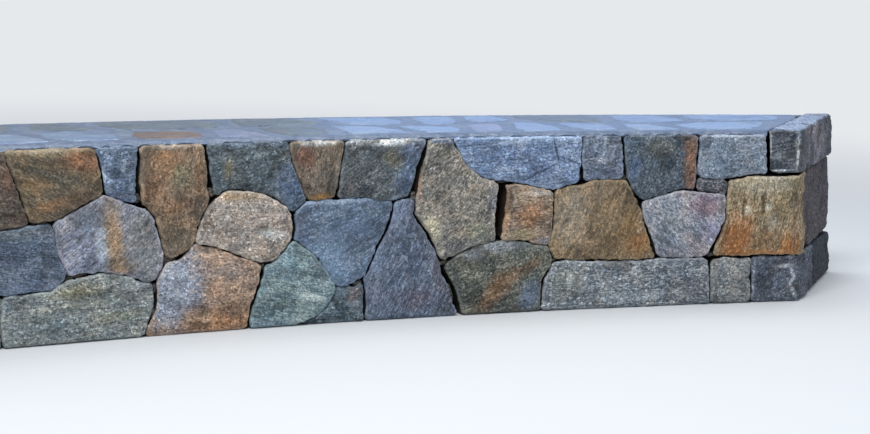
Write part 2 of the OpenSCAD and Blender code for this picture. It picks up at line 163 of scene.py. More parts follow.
# Kinds of rock: sizes in millimetres, and how strongly each mark shows
rocks = {
    # Interlocked crystals, rough broken face: pale feldspar and dark mica spots
    "granite": {
        "crystal": 4.8, "drawnOut": 2.4, "pale": 0.88, "dark": 0.76, "grain": 0.74,
        "streak": 0.42, "long": 36, "thin": 5, "bump": 0.95},
    # Layered and micaceous, rusts along its layers: fine grain drawn out along the bed
    "schist": {
        "crystal": 4.4, "drawnOut": 2.4, "pale": 0.58, "dark": 0.66, "grain": 0.68,
        "streak": 0.46, "long": 40, "thin": 5, "bump": 0.80},
    # Fine-grained and cleft, smooth to the eye, with faint long lines
    "slate": {
        "crystal": 4.2, "drawnOut": 2.0, "pale": 0.66, "dark": 0.54, "grain": 0.64,
        "streak": 0.42, "long": 55, "thin": 5, "bump": 0.70},
    # Dark banded rock with coarse spots
    "gneiss": {
        "crystal": 5.0, "drawnOut": 1.9, "pale": 0.86, "dark": 0.76, "grain": 0.76,
        "streak": 0.40, "long": 45, "thin": 6, "bump": 0.95},
    # Cleft flagstone, worn and wet: few crystals, faint long bands
    "flag": {
        "crystal": 3.4, "drawnOut": 1.5, "pale": 0.22, "dark": 0.26, "grain": 0.38,
        "streak": 0.40, "long": 110, "thin": 20, "bump": 0.40},
    # Trowelled sand and lime: sand grains show as fine specks
    "mortar": {
        "crystal": 3.0, "drawnOut": 1.0, "pale": 0.24, "dark": 0.30, "grain": 0.34,
        "streak": 0.10, "long": 30, "thin": 20, "bump": 0.45},
}
# What all the rocks share: sizes in metres, shares of one pattern in another, and the ranges of a
# pattern over which a mark comes in
finish = {
    "cloudSize": 0.075,
    "mottleSize": 0.020,
    "grainSize": 0.0044,
    "gritSize": 0.0030,
    "seedSteps": ((1.37, 7), (2.11, 5), (0.73, 3)),
    "mottleShare": 0.42,
    "toneBelow": 0.12,  # from the middle tone down to the dark colour, and up to the light one
    "toneAbove": 0.13,
    "stainStreak": 0.4,
    "stainGrain": 0.35,
    "stainRagged": 3.1,
    "stainRim": (1.4, 0.35),
    "stainTones": (0.66, 1.42),
    "cloudTint": 0.045,
    "mottleTint": 0.03,
    "tintRange": (0.38, 0.62),
    "paleRange": (0.76, 0.98),
    "paleGain": 2.0,
    "darkRange": (0.32, 0.04),
    "darkGain": 0.25,
    "gritRange": (0.3, 0.7),
    "gritShades": (0.66, 1.34),
    # Pale arrises, partly wear and partly a painted highlight
    "edge": 0.68,
    "edgeGain": 1.45,
    # Painted shade in the hollows of the relief, over this range of depths
    "hollowRange": (-4.0, 0.3),  # mm
    "hollowShadeLevel": 0.55,
    # Painted shade on the sides of the stones deep in the joints, painted near black
    "buriedRange": (0.22, 0.02),
    "jointShade": 0.93,
    "jointShadeColour": "#0f0d0b",
    "bumpGrit": 0.5,
    "bumpGrain": 0.4,
    "bumpDepth": 0.008,
    "wetRange": (0.35, 0.65),
    "wet": 0.62,
    "dry": 0.85,
    "specular": 0.35,
    "filmRoughness": 0.24,
}


def stoneMaterial(name, look, middle, seed):
    rock = rocks[look["rock"]]
    material = bpy.data.materials.new(name)
    material.use_nodes = True
    tree = material.node_tree
    tree.nodes.clear()
    add = partial(addNode, tree)
    dark, plain, light = (toLinear(c) for c in look["colours"])
    angle = math.atan2(middle.x, middle.y - faceCentreY)
    bed = math.radians(look.get("bed", 0))
    contrast = look.get("contrast", 1.0)
    toneRange = (0.5 - finish["toneBelow"] / contrast, 0.5 + finish["toneAbove"] / contrast)
    coords = add("ShaderNodeTexCoord").outputs["Object"]
    local = add("ShaderNodeMapping", {
        "Vector": coords, "Location": middle, "Rotation": (0, -bed, -angle)}, vector_type="TEXTURE")
    place = add("ShaderNodeVectorMath", {0: local, 1: shiftOf(seed, finish["seedSteps"])}, operation="ADD")
    cloud = add("ShaderNodeTexNoise", {
        "Vector": place, "Scale": 1 / finish["cloudSize"], "Detail": 5.0, "Roughness": 0.6,
        "Distortion": 0.6})
    mottle = add("ShaderNodeTexNoise", {
        "Vector": place, "Scale": 1 / finish["mottleSize"], "Detail": 4.0, "Roughness": 0.65})
    grit = add("ShaderNodeTexNoise", {
        "Vector": place, "Scale": 1 / finish["gritSize"], "Detail": 2.0, "Roughness": 0.7})
    drawn = add("ShaderNodeVectorMath", {
        0: place, 1: (1000 / rock["long"], 1000 / rock["thin"], 1000 / rock["thin"])}, operation="MULTIPLY")
    streak = add("ShaderNodeTexNoise", {
        "Vector": drawn, "Scale": 1.0, "Detail": 4.0, "Roughness": 0.6, "Distortion": 0.8})
    alongBed = add("ShaderNodeVectorMath", {0: place, 1: (1 / rock["drawnOut"], 1, 1)}, operation="MULTIPLY")
    grain = add("ShaderNodeTexNoise", {
        "Vector": alongBed, "Scale": 1 / finish["grainSize"], "Detail": 2.0, "Roughness": 0.6,
        "Distortion": 0.4})
    crystal = add("ShaderNodeTexVoronoi", {
        "Vector": place, "Scale": 1000 / rock["crystal"], "Randomness": 1.0}).outputs["Color"]
    spots = add("ShaderNodeSeparateColor", {0: crystal}).outputs

    # Base tone: clouds, mottles, streaks and grain added up and read through three colours
    tone = add("ShaderNodeMix", {0: finish["mottleShare"], 2: cloud, 3: mottle})
    tone = add("ShaderNodeMix", {0: rock["streak"], 2: tone, 3: streak})
    above = add("ShaderNodeMath", {0: grain, 1: 0.5}, operation="SUBTRACT")
    tone = add("ShaderNodeMath", {0: above, 1: rock["grain"], 2: tone}, operation="MULTIPLY_ADD")
    colour = add("ShaderNodeValToRGB", {0: tone})
    stops = colour.color_ramp.elements
    for stop, position, shade in zip(stops, toneRange, (dark, light)):
        stop.position = position
        stop.color = shade
    stops.new(0.5).color = plain

    # Stains, some of them painted light as noted in the looks: colour, along and up in mm, reach along and up
    # in mm, turn in degrees, strength
    ragged = add("ShaderNodeMix", {0: finish["stainStreak"], 2: mottle, 3: streak})
    ragged = add("ShaderNodeMix", {0: finish["stainGrain"], 2: ragged, 3: grain})
    ragged = add("ShaderNodeMath", {0: ragged, 1: 0.5}, operation="SUBTRACT")
    for tint, u, z, reach, rise, turn, strength in look.get("stains", ()):
        spread = add("ShaderNodeMapping", {
            "Vector": coords, "Location": wallPoint(u / 1000, 0, z / 1000),
            "Rotation": (0, -math.radians(turn), -wallAngle(u / 1000, z / 1000)),
            "Scale": (reach / 1000, 1, rise / 1000)}, vector_type="TEXTURE")
        away = add("ShaderNodeVectorMath", {0: spread}, operation="LENGTH")
        away = add("ShaderNodeMath", {0: ragged, 1: finish["stainRagged"], 2: away}, operation="MULTIPLY_ADD")
        mask = add("ShaderNodeMapRange", {
            "Value": away, fromEnds: finish["stainRim"], "To Max": strength}, interpolation_type="SMOOTHSTEP")
        # The stain keeps the grain of the stone below it
        tinted = add("ShaderNodeMapRange", {"Value": tone, fromEnds: toneRange, toEnds: finish["stainTones"]})
        tinted = add("ShaderNodeVectorMath", {0: toLinear(tint)[:3], 3: tinted}, operation="SCALE")
        colour = add("ShaderNodeMix", {0: mask, 6: colour, 7: tinted}, data_type="RGBA")

    # Patches lean to a warmer or a cooler hue
    for patch, amount in ((cloud, finish["cloudTint"]), (mottle, finish["mottleTint"])):
        lean = add("ShaderNodeSeparateColor", {0: patch.outputs["Color"]})
        lean = add("ShaderNodeMapRange", {
            "Value": lean, fromEnds: finish["tintRange"]}, interpolation_type="SMOOTHSTEP")
        shift = add("ShaderNodeMix", {
            0: lean, 4: (1 - amount, 1, 1 + amount), 5: (1 + amount, 1, 1 - amount)}, data_type="VECTOR")
        colour = add("ShaderNodeVectorMath", {0: colour, 1: shift}, operation="MULTIPLY")

    # Crystals, pale and dark, then fine grit over everything
    for spot, mark in zip(spots, ("pale", "dark")):
        mask = add("ShaderNodeMapRange", {
            "Value": spot, fromEnds: finish[f"{mark}Range"], "To Max": rock[mark]})
        marked = add("ShaderNodeVectorMath", {0: colour, 3: finish[f"{mark}Gain"]}, operation="SCALE")
        colour = add("ShaderNodeMix", {0: mask, 6: colour, 7: marked}, data_type="RGBA")
    shade = add("ShaderNodeMapRange", {
        "Value": grit, fromEnds: finish["gritRange"], toEnds: finish["gritShades"]})
    colour = add("ShaderNodeVectorMath", {0: colour, 3: shade}, operation="SCALE")

    # Arrises are paler, partly wear and partly a painted highlight; hollows get painted shade, and the sides
    # deep in the joints get painted shade, near black
    exposed, arris, relief = (
        add("ShaderNodeAttribute", attribute_name=kept).outputs["Fac"]
        for kept in ("exposed", "arris", "relief"))
    wearAndHighlight = add("ShaderNodeMath", {0: arris, 1: mottle}, operation="MULTIPLY")
    wearAndHighlight = add("ShaderNodeMath", {
        0: wearAndHighlight, 1: look.get("edge", finish["edge"])}, operation="MULTIPLY", use_clamp=True)
    paler = [min(1.0, c * finish["edgeGain"]) for c in light[:3]] + [1.0]
    colour = add("ShaderNodeMix", {0: wearAndHighlight, 6: colour, 7: paler}, data_type="RGBA")
    # Painted shade: the hollows of the relief are darkened
    hollowShade = add("ShaderNodeMapRange", {
        "Value": relief, fromEnds: finish["hollowRange"], "To Min": finish["hollowShadeLevel"]},
        interpolation_type="SMOOTHSTEP")
    colour = add("ShaderNodeVectorMath", {0: colour, 3: hollowShade}, operation="SCALE")
    # Painted shade: where a stone is hidden in a joint, its sides are painted near black
    buried = add("ShaderNodeMapRange", {
        "Value": exposed, fromEnds: finish["buriedRange"], "To Max": look.get("jointShade", finish["jointShade"])})
    colour = add("ShaderNodeMix", {0: buried, 6: colour, 7: toLinear(finish["jointShadeColour"])}, data_type="RGBA")

    # Fine relief below the size of the mesh
    fine = mottle
    for share, layer in ((finish["bumpGrit"], grit), (finish["bumpGrain"], grain), (rock["streak"], streak)):
        fine = add("ShaderNodeMix", {0: share, 2: fine, 3: layer})
    bump = add("ShaderNodeBump", {"Height": fine, "Strength": rock["bump"], "Distance": finish["bumpDepth"]})
    rough = add("ShaderNodeMapRange", {
        "Value": cloud, fromEnds: finish["wetRange"],
        toEnds: [look.get(state, finish[state]) for state in ("wet", "dry")]})
    shader = add("ShaderNodeBsdfPrincipled", {
        "Base Color": colour, "Roughness": rough, "Normal": bump, "Specular IOR Level": finish["specular"],
        "Coat Weight": look.get("film", 0.0), "Coat Roughness": finish["filmRoughness"]})
    add("ShaderNodeOutputMaterial", {0: shader})
    return material


def geometryTree(name, floats, vectors):
    tree = bpy.data.node_groups.new(name, "GeometryNodeTree")
    given = {"Geometry": "Geometry", **dict.fromkeys(floats, "Float"), **dict.fromkeys(vectors, "Vector"),
             "Material": "Material"}
    for label, kind in given.items():
        tree.interface.new_socket(label, in_out="INPUT", socket_type=f"NodeSocket{kind}")
    tree.interface.new_socket("Geometry", in_out="OUTPUT", socket_type="NodeSocketGeometry")
    return tree


# How a stone breaks: "often" is a noise's waves to the metre, a range is where in the noise a mark comes in
breakage = {
    "bendOften": 22.0,
    "bendReach": 0.05,
    "facetSoftness": 0.35,
    "cleftStretch": (1, 3, 4.5),
    "chipOften": 58.0,
    "chipRange": (0.45, 0.72),
    "jointOften": 13.0,
    "jointRange": (0.36, 0.62),
    "jointWidths": (0.15, 1.85),
}


# Relief of a broken stone, as a geometry tree with its sizes as inputs, in metres
def brokenStoneTree():
    tree = geometryTree("brokenStone", (
        "Bed Turn", "Facet Size", "Facet Height", "Cleft Size", "Cleft Height", "Grain Size", "Grain Height",
        "Joint Inset", "Arris Fill", "Chip Height", "Sink", "Wander", "Wander Size"), ("Seed", "Wander Ways"))
    add = partial(addNode, tree)
    given = add("NodeGroupInput").outputs
    position = add("GeometryNodeInputPosition")
    normal = add("GeometryNodeInputNormal")
    exposed, arris, free, give = (
        add("GeometryNodeInputNamedAttribute", {0: kept}, data_type="FLOAT")
        for kept in ("exposed", "arris", "free", "give"))
    often = {}
    for pattern in ("Facet", "Cleft", "Grain", "Wander"):
        often[pattern] = add("ShaderNodeMath", {0: 1.0, 1: given[f"{pattern} Size"]}, operation="DIVIDE")
    turned = add("ShaderNodeVectorRotate", {
        "Vector": position, "Angle": given["Bed Turn"]}, rotation_type="Y_AXIS")
    place = add("ShaderNodeVectorMath", {0: turned, 1: given["Seed"]}, operation="ADD")

    # Facets: each cell of a bent lattice is a small plane with its own tilt
    bend = add("ShaderNodeTexNoise", {
        "Vector": place, "Scale": breakage["bendOften"], "Detail": 3.0}).outputs["Color"]
    bend = add("ShaderNodeVectorMath", {0: bend, 1: halfWay}, operation="SUBTRACT")
    bend = add("ShaderNodeVectorMath", {0: bend, 3: breakage["bendReach"]}, operation="SCALE")
    bent = add("ShaderNodeVectorMath", {0: place, 1: bend}, operation="ADD")
    cells = add("ShaderNodeTexVoronoi", {
        "Vector": bent, "Scale": often["Facet"], "Smoothness": breakage["facetSoftness"]},
        feature="SMOOTH_F1").outputs
    across = add("ShaderNodeVectorMath", {0: bent, 1: cells["Position"]}, operation="SUBTRACT")
    tilt = add("ShaderNodeVectorMath", {0: cells["Color"], 1: halfWay}, operation="SUBTRACT")
    slope = add("ShaderNodeVectorMath", {0: across, 1: tilt}, operation="DOT_PRODUCT")
    slope = add("ShaderNodeMath", {0: slope, 1: often["Facet"]}, operation="MULTIPLY")
    relief = add("ShaderNodeMath", {0: slope, 1: given["Facet Height"]}, operation="MULTIPLY")

    # Clefts, drawn out along the bed, and grain
    drawn = add("ShaderNodeVectorMath", {0: place, 1: breakage["cleftStretch"]}, operation="MULTIPLY")
    clefts = add("ShaderNodeTexNoise", {
        "Vector": drawn, "Scale": often["Cleft"], "Detail": 4.0, "Roughness": 0.6, "Distortion": 0.5})
    grain = add("ShaderNodeTexNoise", {
        "Vector": place, "Scale": often["Grain"], "Detail": 3.0, "Roughness": 0.7})
    for noise, height in ((clefts, "Cleft Height"), (grain, "Grain Height")):
        noise = add("ShaderNodeMath", {0: noise, 1: 0.5}, operation="SUBTRACT")
        relief = add("ShaderNodeMath", {0: noise, 1: given[height], 2: relief}, operation="MULTIPLY_ADD")

    # Chips along the arris, and the gap to the next stone
    chips = add("ShaderNodeTexNoise", {"Vector": place, "Scale": breakage["chipOften"], "Detail": 3.0})
    chips = add("ShaderNodeMapRange", {"Value": chips, fromEnds: breakage["chipRange"]})
    lost = add("ShaderNodeMath", {0: chips, 1: given["Chip Height"]}, operation="MULTIPLY")
    kept = add("ShaderNodeMath", {0: given["Arris Fill"], 1: lost}, operation="SUBTRACT")
    edge = add("ShaderNodeMath", {0: arris, 1: kept}, operation="MULTIPLY")
    hidden = add("ShaderNodeMath", {0: 1.0, 1: exposed}, operation="SUBTRACT")
    # Both stones of a joint read the same noise, so it opens and closes along its length
    uneven = add("ShaderNodeTexNoise", {"Vector": position, "Scale": breakage["jointOften"], "Detail": 2.0})
    uneven = add("ShaderNodeMapRange", {
        "Value": uneven, fromEnds: breakage["jointRange"], toEnds: breakage["jointWidths"]})
    back = add("ShaderNodeMath", {0: uneven, 1: given["Joint Inset"]}, operation="MULTIPLY")
    back = add("ShaderNodeMath", {0: back, 1: hidden}, operation="MULTIPLY")
    sunk = add("ShaderNodeMath", {0: relief, 1: given["Sink"]}, operation="SUBTRACT")
    out = add("ShaderNodeMath", {0: sunk, 1: exposed, 2: edge}, operation="MULTIPLY_ADD")
    out = add("ShaderNodeMath", {0: out, 1: back}, operation="SUBTRACT")
    out = add("ShaderNodeMath", {0: out, 1: give}, operation="MULTIPLY")
    move = add("ShaderNodeVectorMath", {0: normal, 3: out}, operation="SCALE")

    # Wander: one slow bend that all the stones share, so joints curve and still match
    wander = add("ShaderNodeTexNoise", {
        "Vector": position, "Scale": often["Wander"], "Detail": 2.0, "Roughness": 0.55}).outputs["Color"]
    wander = add("ShaderNodeVectorMath", {0: wander, 1: halfWay}, operation="SUBTRACT")
    wander = add("ShaderNodeVectorMath", {0: wander, 1: given["Wander Ways"]}, operation="MULTIPLY")
    reach = add("ShaderNodeMath", {0: free, 1: given["Wander"]}, operation="MULTIPLY")
    wander = add("ShaderNodeVectorMath", {0: wander, 3: reach}, operation="SCALE")
    move = add("ShaderNodeVectorMath", {0: move, 1: wander}, operation="ADD")
    inMillimetres = add("ShaderNodeMath", {0: relief, 1: 1000.0}, operation="MULTIPLY")
    marked = add("GeometryNodeStoreNamedAttribute", {
        "Geometry": given["Geometry"], "Name": "relief", "Value": inMillimetres},
        data_type="FLOAT", domain="POINT")
    moved = add("GeometryNodeSetPosition", {"Geometry": marked, "Offset": move})
    real = add("GeometryNodeRealizeInstances", {"Geometry": moved})
    coated = add("GeometryNodeSetMaterial", {"Geometry": real, "Material": given["Material"]})
    add("NodeGroupOutput", {0: coated})
    return tree


brokenStone = brokenStoneTree()
say("trees")

# How the stones are dressed: sizes and depths in metres, except the joints' reach
dressing = {
    "weld": 1e-5,
    "finest": 0.0038,  # voxels of the stones in view, of the others, of the back and of the top
    "aside": 0.0056,
    "coarsest": 0.0068,
    "capVoxel": 0.0056,
    "smoothing": 0.5,
    "smoothPasses": 1,
    "openAir": (0.022, 0.045),  # depths from which a face stops being an outer one
    "facing": (0.12, 0.92),  # how squarely a face looks outwards, from none to all
    "capBelow": (0.001, -0.5),  # over the flags' seat, and the slope that looks down
    "capRim": (0.012, 0.02),
    "capFree": (0.0, 0.08),  # reaches over which stones may wander, at the rim, ends and beds
    "endFree": (0.0, 0.09),
    "bedFree": (0.0, 0.035),
    "seat": (0.6, 0.012),  # slope and reach of the faces that rest on the ground or carry the top
    "shownDepth": 0.028,
    "thinOver": 0.02,
    "thinSteps": 4,
    "thinWeight": 100,
    "hiddenShare": 0.05,
    "jointReach": 18,  # mm
    "jointMost": 0.014,
    "jointFade": (0.5, 1.2),
    "jointDepth": (0.08, 0.14),
    "jointFoot": (0.0, 0.02),
    "insideBox": 0.0002,
}


# Every solid of a CAD node as its own merged mesh
def solidsOf(nodeName):
    source = bmesh.new()
    source.from_mesh(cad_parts[nodeName].data)
    bmesh.ops.remove_doubles(source, verts=source.verts, dist=dressing["weld"])
    solids = []
    left = set(source.verts)
    while left:
        group, edge = set(), [min(left, key=lambda v: v.index)]
        while edge:
            vert = edge.pop()
            if vert in group:
                continue
            group.add(vert)
            edge.extend(e.other_vert(vert) for e in vert.link_edges)
        left -= group
        order = {vert: i for i, vert in enumerate(sorted(group, key=lambda v: v.index))}
        faces = sorted({face for vert in group for face in vert.link_faces}, key=lambda f: f.index)
        mesh = bpy.data.meshes.new("solid")
        mesh.from_pydata([v.co.copy() for v in order], [], [[order[v] for v in f.verts] for f in faces])
        solids.append(mesh)
    source.free()
    return solids


# The places of a mesh's vertices, or their normals
def vectorsOf(items, what="co"):
    out = np.empty(len(items) * 3, np.float32)
    items.foreach_get(what, out)
    return out.reshape(-1, 3).astype(float)


def middleOf(mesh):
    points = vectorsOf(mesh.vertices)
    return Vector((points.min(0) + points.max(0)) / 2)


# Where points lie: along the wall, into it and in from its splayed end, with those three directions
def placesOf(points):
    x, y, z = points.T
    radius, half = wall["faceRadius"], wall["length"] / 2
    angle = np.arctan2(x, y - faceCentreY)
    depth = np.hypot(x, y - faceCentreY) - radius
    lean = leanAt(z)
    along = angle * radius / lean + half
    zero = np.zeros_like(x)
    inward = np.stack([np.sin(angle), np.cos(angle), zero], 1)
    tangent = np.stack([np.cos(angle), -np.sin(angle), zero], 1)
    endAngle = half * lean / radius
    corner = np.stack([np.sin(endAngle) * radius, np.cos(endAngle) * radius + faceCentreY, z], 1)
    straight = half / radius
    endAlong = np.array([math.cos(straight), -math.sin(straight), 0])
    endInto = np.array([math.sin(straight), math.cos(straight), 0])
    endOut = math.sin(wall["endSplay"]) * endAlong - math.cos(wall["endSplay"]) * endInto
    fromEnd = -((points - corner) @ endOut)
    return along, depth, fromEnd, tangent, inward, np.broadcast_to(endOut, points.shape)


# Which parts of a stone face the open air, where its edges are, what may move, and how deep the rest lies
def outsideOf(mesh, kind):
    points, normals = vectorsOf(mesh.vertices), vectorsOf(mesh.vertex_normals, "vector")
    along, depth, fromEnd, tangent, inward, endOut = placesOf(points)
    z, up = points[:, 2], normals[:, 2]
    sides = [(depth, -inward), (wall["thickness"] - depth, inward), (along, -tangent), (fromEnd, endOut)]
    rim = np.min([distance for distance, outward in sides], axis=0)
    if kind != "stone":
        sides.append((wall["height"] - z, np.broadcast_to([0.0, 0.0, 1.0], points.shape)))
    exposed = np.zeros_like(z)
    for distance, outward in sides:
        near = 1 - smoothStep(distance, *dressing["openAir"])
        facing = (normals * outward).sum(1)
        exposed = np.maximum(exposed, smoothStep(facing, *dressing["facing"]) * near)
    edge = 4 * exposed * (1 - exposed)
    if kind == "cap":
        # Under the cap nothing shows
        margin, slope = dressing["capBelow"]
        low = (up < slope) | (z < wall["flagSeat"] + margin)
        hidden = low * smoothStep(rim, *dressing["capRim"])
        free = smoothStep(rim, *dressing["capFree"])
    else:
        top = wall["stoneTop"] if kind == "stone" else wall["height"]
        nearest = np.minimum(rim, wall["height"] - z) if kind == "quoin" else rim
        hidden = smoothStep(nearest, dressing["shownDepth"], dressing["shownDepth"] + dressing["thinOver"])
        free = (smoothStep(along, *dressing["endFree"]) * smoothStep(fromEnd, *dressing["endFree"])
                * smoothStep(z, *dressing["bedFree"]) * smoothStep(top - z, *dressing["bedFree"]))
    level, reach = dressing["seat"]
    ground = (up < -level) & (z < reach)
    under = (up > level) & (z > wall["stoneTop"] - reach) & (kind == "stone")
    return {"exposed": exposed, "arris": edge, "free": free, "give": 1.0 - (ground | under)}, hidden


# Places on the front where a joint gapes: along and up in mm, reach, rise, turn in degrees, extra mm
wideJoints = (
    (600, 322, 42, 10, 6, 3), (705, 176, 48, 12, 12, 4), (755, 440, 12, 70, 14, 2),
    (868, 440, 12, 90, 0, 3.5), (872, 372, 16, 20, 0, 4), (932, 95, 18, 85, 0, 4.5),
    (930, 290, 14, 60, 20, 2), (975, 205, 26, 20, 30, 5), (1072, 450, 14, 85, 8, 4),
    (1092, 382, 20, 20, 0, 5), (1170, 216, 50, 8, -14, 2), (1228, 70, 15, 95, -12, 3.2),
    (1248, 172, 16, 18, 0, 4), (1335, 290, 13, 60, 0, 3.8), (1478, 430, 10, 90, -6, 2.5),
    (1600, 230, 16, 110, -26, 4.0), (1545, 106, 30, 13, 8, 4.5), (1562, 50, 9, 55, 0, 3),
    (1722, 430, 13, 100, -10, 6), (1712, 345, 16, 40, 0, 5), (1740, 265, 12, 70, 28, 4),
    (1836, 75, 15, 100, 23, 8), (1815, 155, 30, 11, 18, 4.5), (1990, 300, 14, 100, 3, 16),
    (2000, 385, 30, 9, 0, 3.5), (2140, 80, 12, 75, 0, 4), (2165, 149, 40, 11, 0, 4),
    (2162, 290, 8, 80, 0, 1.5), (2252, 450, 6, 70, 0, 2), (2248, 394, 15, 16, 0, 4),
    (2393, 450, 10, 75, -3, 3), (2402, 388, 14, 14, 0, 3), (2482, 200, 14, 75, 28, 4),
    (2442, 317, 16, 14, 0, 4), (2600, 350, 90, 8, 0, 1.6), (2715, 192, 14, 60, -25, 3.6),
    (2702, 150, 18, 14, 0, 5), (2692, 70, 8, 80, 0, 2.6), (2835, 70, 6, 80, 0, 2),
    (2646, 440, 9, 85, -2, 3), (2887, 457, 10, 70, 0, 4.5), (2945, 395, 75, 8, 0, 5),
    (2820, 392, 90, 8, 0, 2), (2400, 145, 120, 7, 0, 2), (2860, 145, 120, 7, 0, 2),
)


# Draw a stone back from the wide joints beside it: across a long one, away from the middle of a round one
def openJoints(points, middle):
    along, depth, fromEnd, tangent = placesOf(points)[:4]
    ownAlong = float(placesOf(np.array([middle]))[0][0])
    shift = np.zeros((len(points), 2))
    for u, z, reach, rise, turn, extra in wideJoints:
        c, s = math.cos(math.radians(turn)), math.sin(math.radians(turn))
        right, up = along * 1000 - u, points[:, 2] * 1000 - z
        ownRight, ownUp = ownAlong * 1000 - u, middle[2] * 1000 - z
        own = (ownRight * c + ownUp * s, ownUp * c - ownRight * s)
        upright, level = rise > 2 * reach, reach > 2 * rise
        if upright:
            own = (math.copysign(1, own[0]), 0)
        if level:
            own = (0, math.copysign(1, own[1]))
        own = np.array(own) / math.hypot(*own)
        wide = reach + (0 if level else dressing["jointReach"])
        high = rise + (0 if upright else dressing["jointReach"])
        away = np.hypot((right * c + up * s) / wide, (up * c - right * s) / high)
        amount = extra / 1000 * (1 - smoothStep(away, *dressing["jointFade"]))
        shift += np.outer(amount, (own[0] * c - own[1] * s, own[0] * s + own[1] * c))
    size = np.maximum(np.hypot(*shift.T), 1e-9)  # never nought, as it is divided by
    inFront = 1 - smoothStep(depth, *dressing["jointDepth"])
    shift *= (np.minimum(size, dressing["jointMost"]) / size * inFront)[:, None]
    shift[:, 1] *= smoothStep(points[:, 2], *dressing["jointFoot"])
    moved = points + tangent * shift[:, :1]
    moved[:, 2] += shift[:, 1]
    return moved


def keepFloats(mesh, name, values):
    layer = mesh.attributes.get(name) or mesh.attributes.new(name, "FLOAT", "POINT")
    layer.data.foreach_set("value", values.astype(np.float32))


def evaluated(thing):
    graph = bpy.context.evaluated_depsgraph_get()
    return bpy.data.meshes.new_from_object(thing.evaluated_get(graph), depsgraph=graph)


def setInputs(modifier, values):
    names = {s.name: s.identifier for s in modifier.node_group.interface.items_tree if s.in_out == "INPUT"}
    for label, value in values.items():
        modifier[names[label]] = value


# How each rock breaks, in metres
reliefNames = ("Facet Size", "Facet Height", "Cleft Size", "Cleft Height", "Grain Size", "Grain Height")
rockRelief = {
    "granite": (0.085, 0.012, 0.11, 0.011, 0.013, 0.0085),
    "schist": (0.110, 0.010, 0.09, 0.015, 0.012, 0.0070),
    "slate": (0.130, 0.010, 0.13, 0.011, 0.012, 0.0050),
    "gneiss": (0.095, 0.014, 0.10, 0.013, 0.013, 0.0085),
    "flag": (0.14, 0.0044, 0.10, 0.0034, 0.012, 0.0012),
    "mortar": (0.10, 0.0022, 0.08, 0.0016, 0.012, 0.0022),
}
# Edges and joints: first what all share, then what a rock, the top and the roughly built stones change
edgeSizes = {
    "shared": {"Joint Inset": 0.0016, "Arris Fill": 0.0040, "Chip Height": 0.0048, "Sink": 0.0,
               "Wander": 0.015, "Wander Size": 0.08, "Wander Ways": (1, 0.15, 1)},
    "flag": {"Joint Inset": 0.0012, "Arris Fill": 0.0, "Chip Height": 0.003, "Sink": 0.0010},
    "mortar": {"Joint Inset": 0.0, "Arris Fill": -0.001, "Chip Height": 0.005, "Sink": 0.0004},
    "cap": {"Wander": 0.07, "Wander Size": 0.22, "Wander Ways": (1, 1, 0)},
    "open": {"Joint Inset": 0.0042, "Arris Fill": 0.0005, "Chip Height": 0.0050},
}
reliefSteps = ((0.61, 3), (1.93, 5), (0.37, 2))


# One rough stone: remeshed, thinned where it is buried, then broken by the tree
def dressSolid(solid, look, material, seed, voxel, kind="stone"):
    blank = bpy.data.objects.new("blank", solid)
    bpy.context.collection.objects.link(blank)
    remesh = blank.modifiers.new("remesh", "REMESH")
    remesh.mode = "VOXEL"
    remesh.voxel_size = voxel
    rounder = blank.modifiers.new("rounder", "SMOOTH")
    rounder.factor = dressing["smoothing"]
    rounder.iterations = dressing["smoothPasses"]
    dense = evaluated(blank)
    blank.modifiers.clear()
    blank.data = dense
    buried = outsideOf(dense, kind)[1]
    group = blank.vertex_groups.new(name="buried")
    for step in range(dressing["thinSteps"]):
        low, high = step / dressing["thinSteps"], (step + 1) / dressing["thinSteps"]
        picked = np.nonzero((buried > low) & (buried <= high))[0]
        if len(picked):
            group.add(picked.tolist(), high, "REPLACE")
    thin = blank.modifiers.new("thin", "DECIMATE")
    thin.ratio = 1 - (1 - dressing["hiddenShare"]) * float((buried > 0.5).mean())
    thin.vertex_group = "buried"
    thin.vertex_group_factor = dressing["thinWeight"]
    thinned = evaluated(blank)
    blank.modifiers.clear()
    blank.vertex_groups.clear()
    blank.data = thinned
    for name, values in outsideOf(thinned, kind)[0].items():
        keepFloats(thinned, name, values)
    if kind != "cap":
        opened = openJoints(vectorsOf(thinned.vertices), middleOf(solid))
        thinned.vertices.foreach_set("co", opened.astype(np.float32).ravel())
    thinned.shade_smooth()
    breaking = blank.modifiers.new("breaking", "NODES")
    breaking.node_group = brokenStone
    sizes = dict(zip(reliefNames, rockRelief[look["rock"]]))
    for layer in ("shared", look["rock"], kind, look.get("built")):
        sizes.update(edgeSizes.get(layer, {}))
    sizes["Bed Turn"] = math.radians(look.get("bed", 0))
    sizes["Seed"] = shiftOf(seed, reliefSteps)
    sizes["Material"] = material
    setInputs(breaking, sizes)
    result = evaluated(blank)
    bpy.data.objects.remove(blank)
    low, high = (np.array(corner) for corner in cadBox)
    margin = dressing["insideBox"]
    placed = np.clip(vectorsOf(result.vertices), low + (margin, margin, 0), high - margin)
    if kind == "stone":
        placed[:, 2] = np.minimum(placed[:, 2], wall["stoneTop"])
    if look["rock"] == "mortar":
        placed = withLip(placed)
    result.vertices.foreach_set("co", placed.astype(np.float32).ravel())
    result.update()
    return result


# The mortar thins out towards its rim and laps unevenly over the stones below it, in metres
lip = {
    "waves": (31, 73, 30),  # along, then along and into the wall in the bend of the waves
    "waveBend": 1.9,
    "top": (0.519, 0.529),
    "topDrop": (0.0055, 0.0035),  # everywhere, and more at the waves
    "topReach": (0.0, 0.030),
    "foot": (0.5185, 0.523),
    "footDrop": (0.0055, 0.0045),
    "footReach": (0.010, 0.020),
}


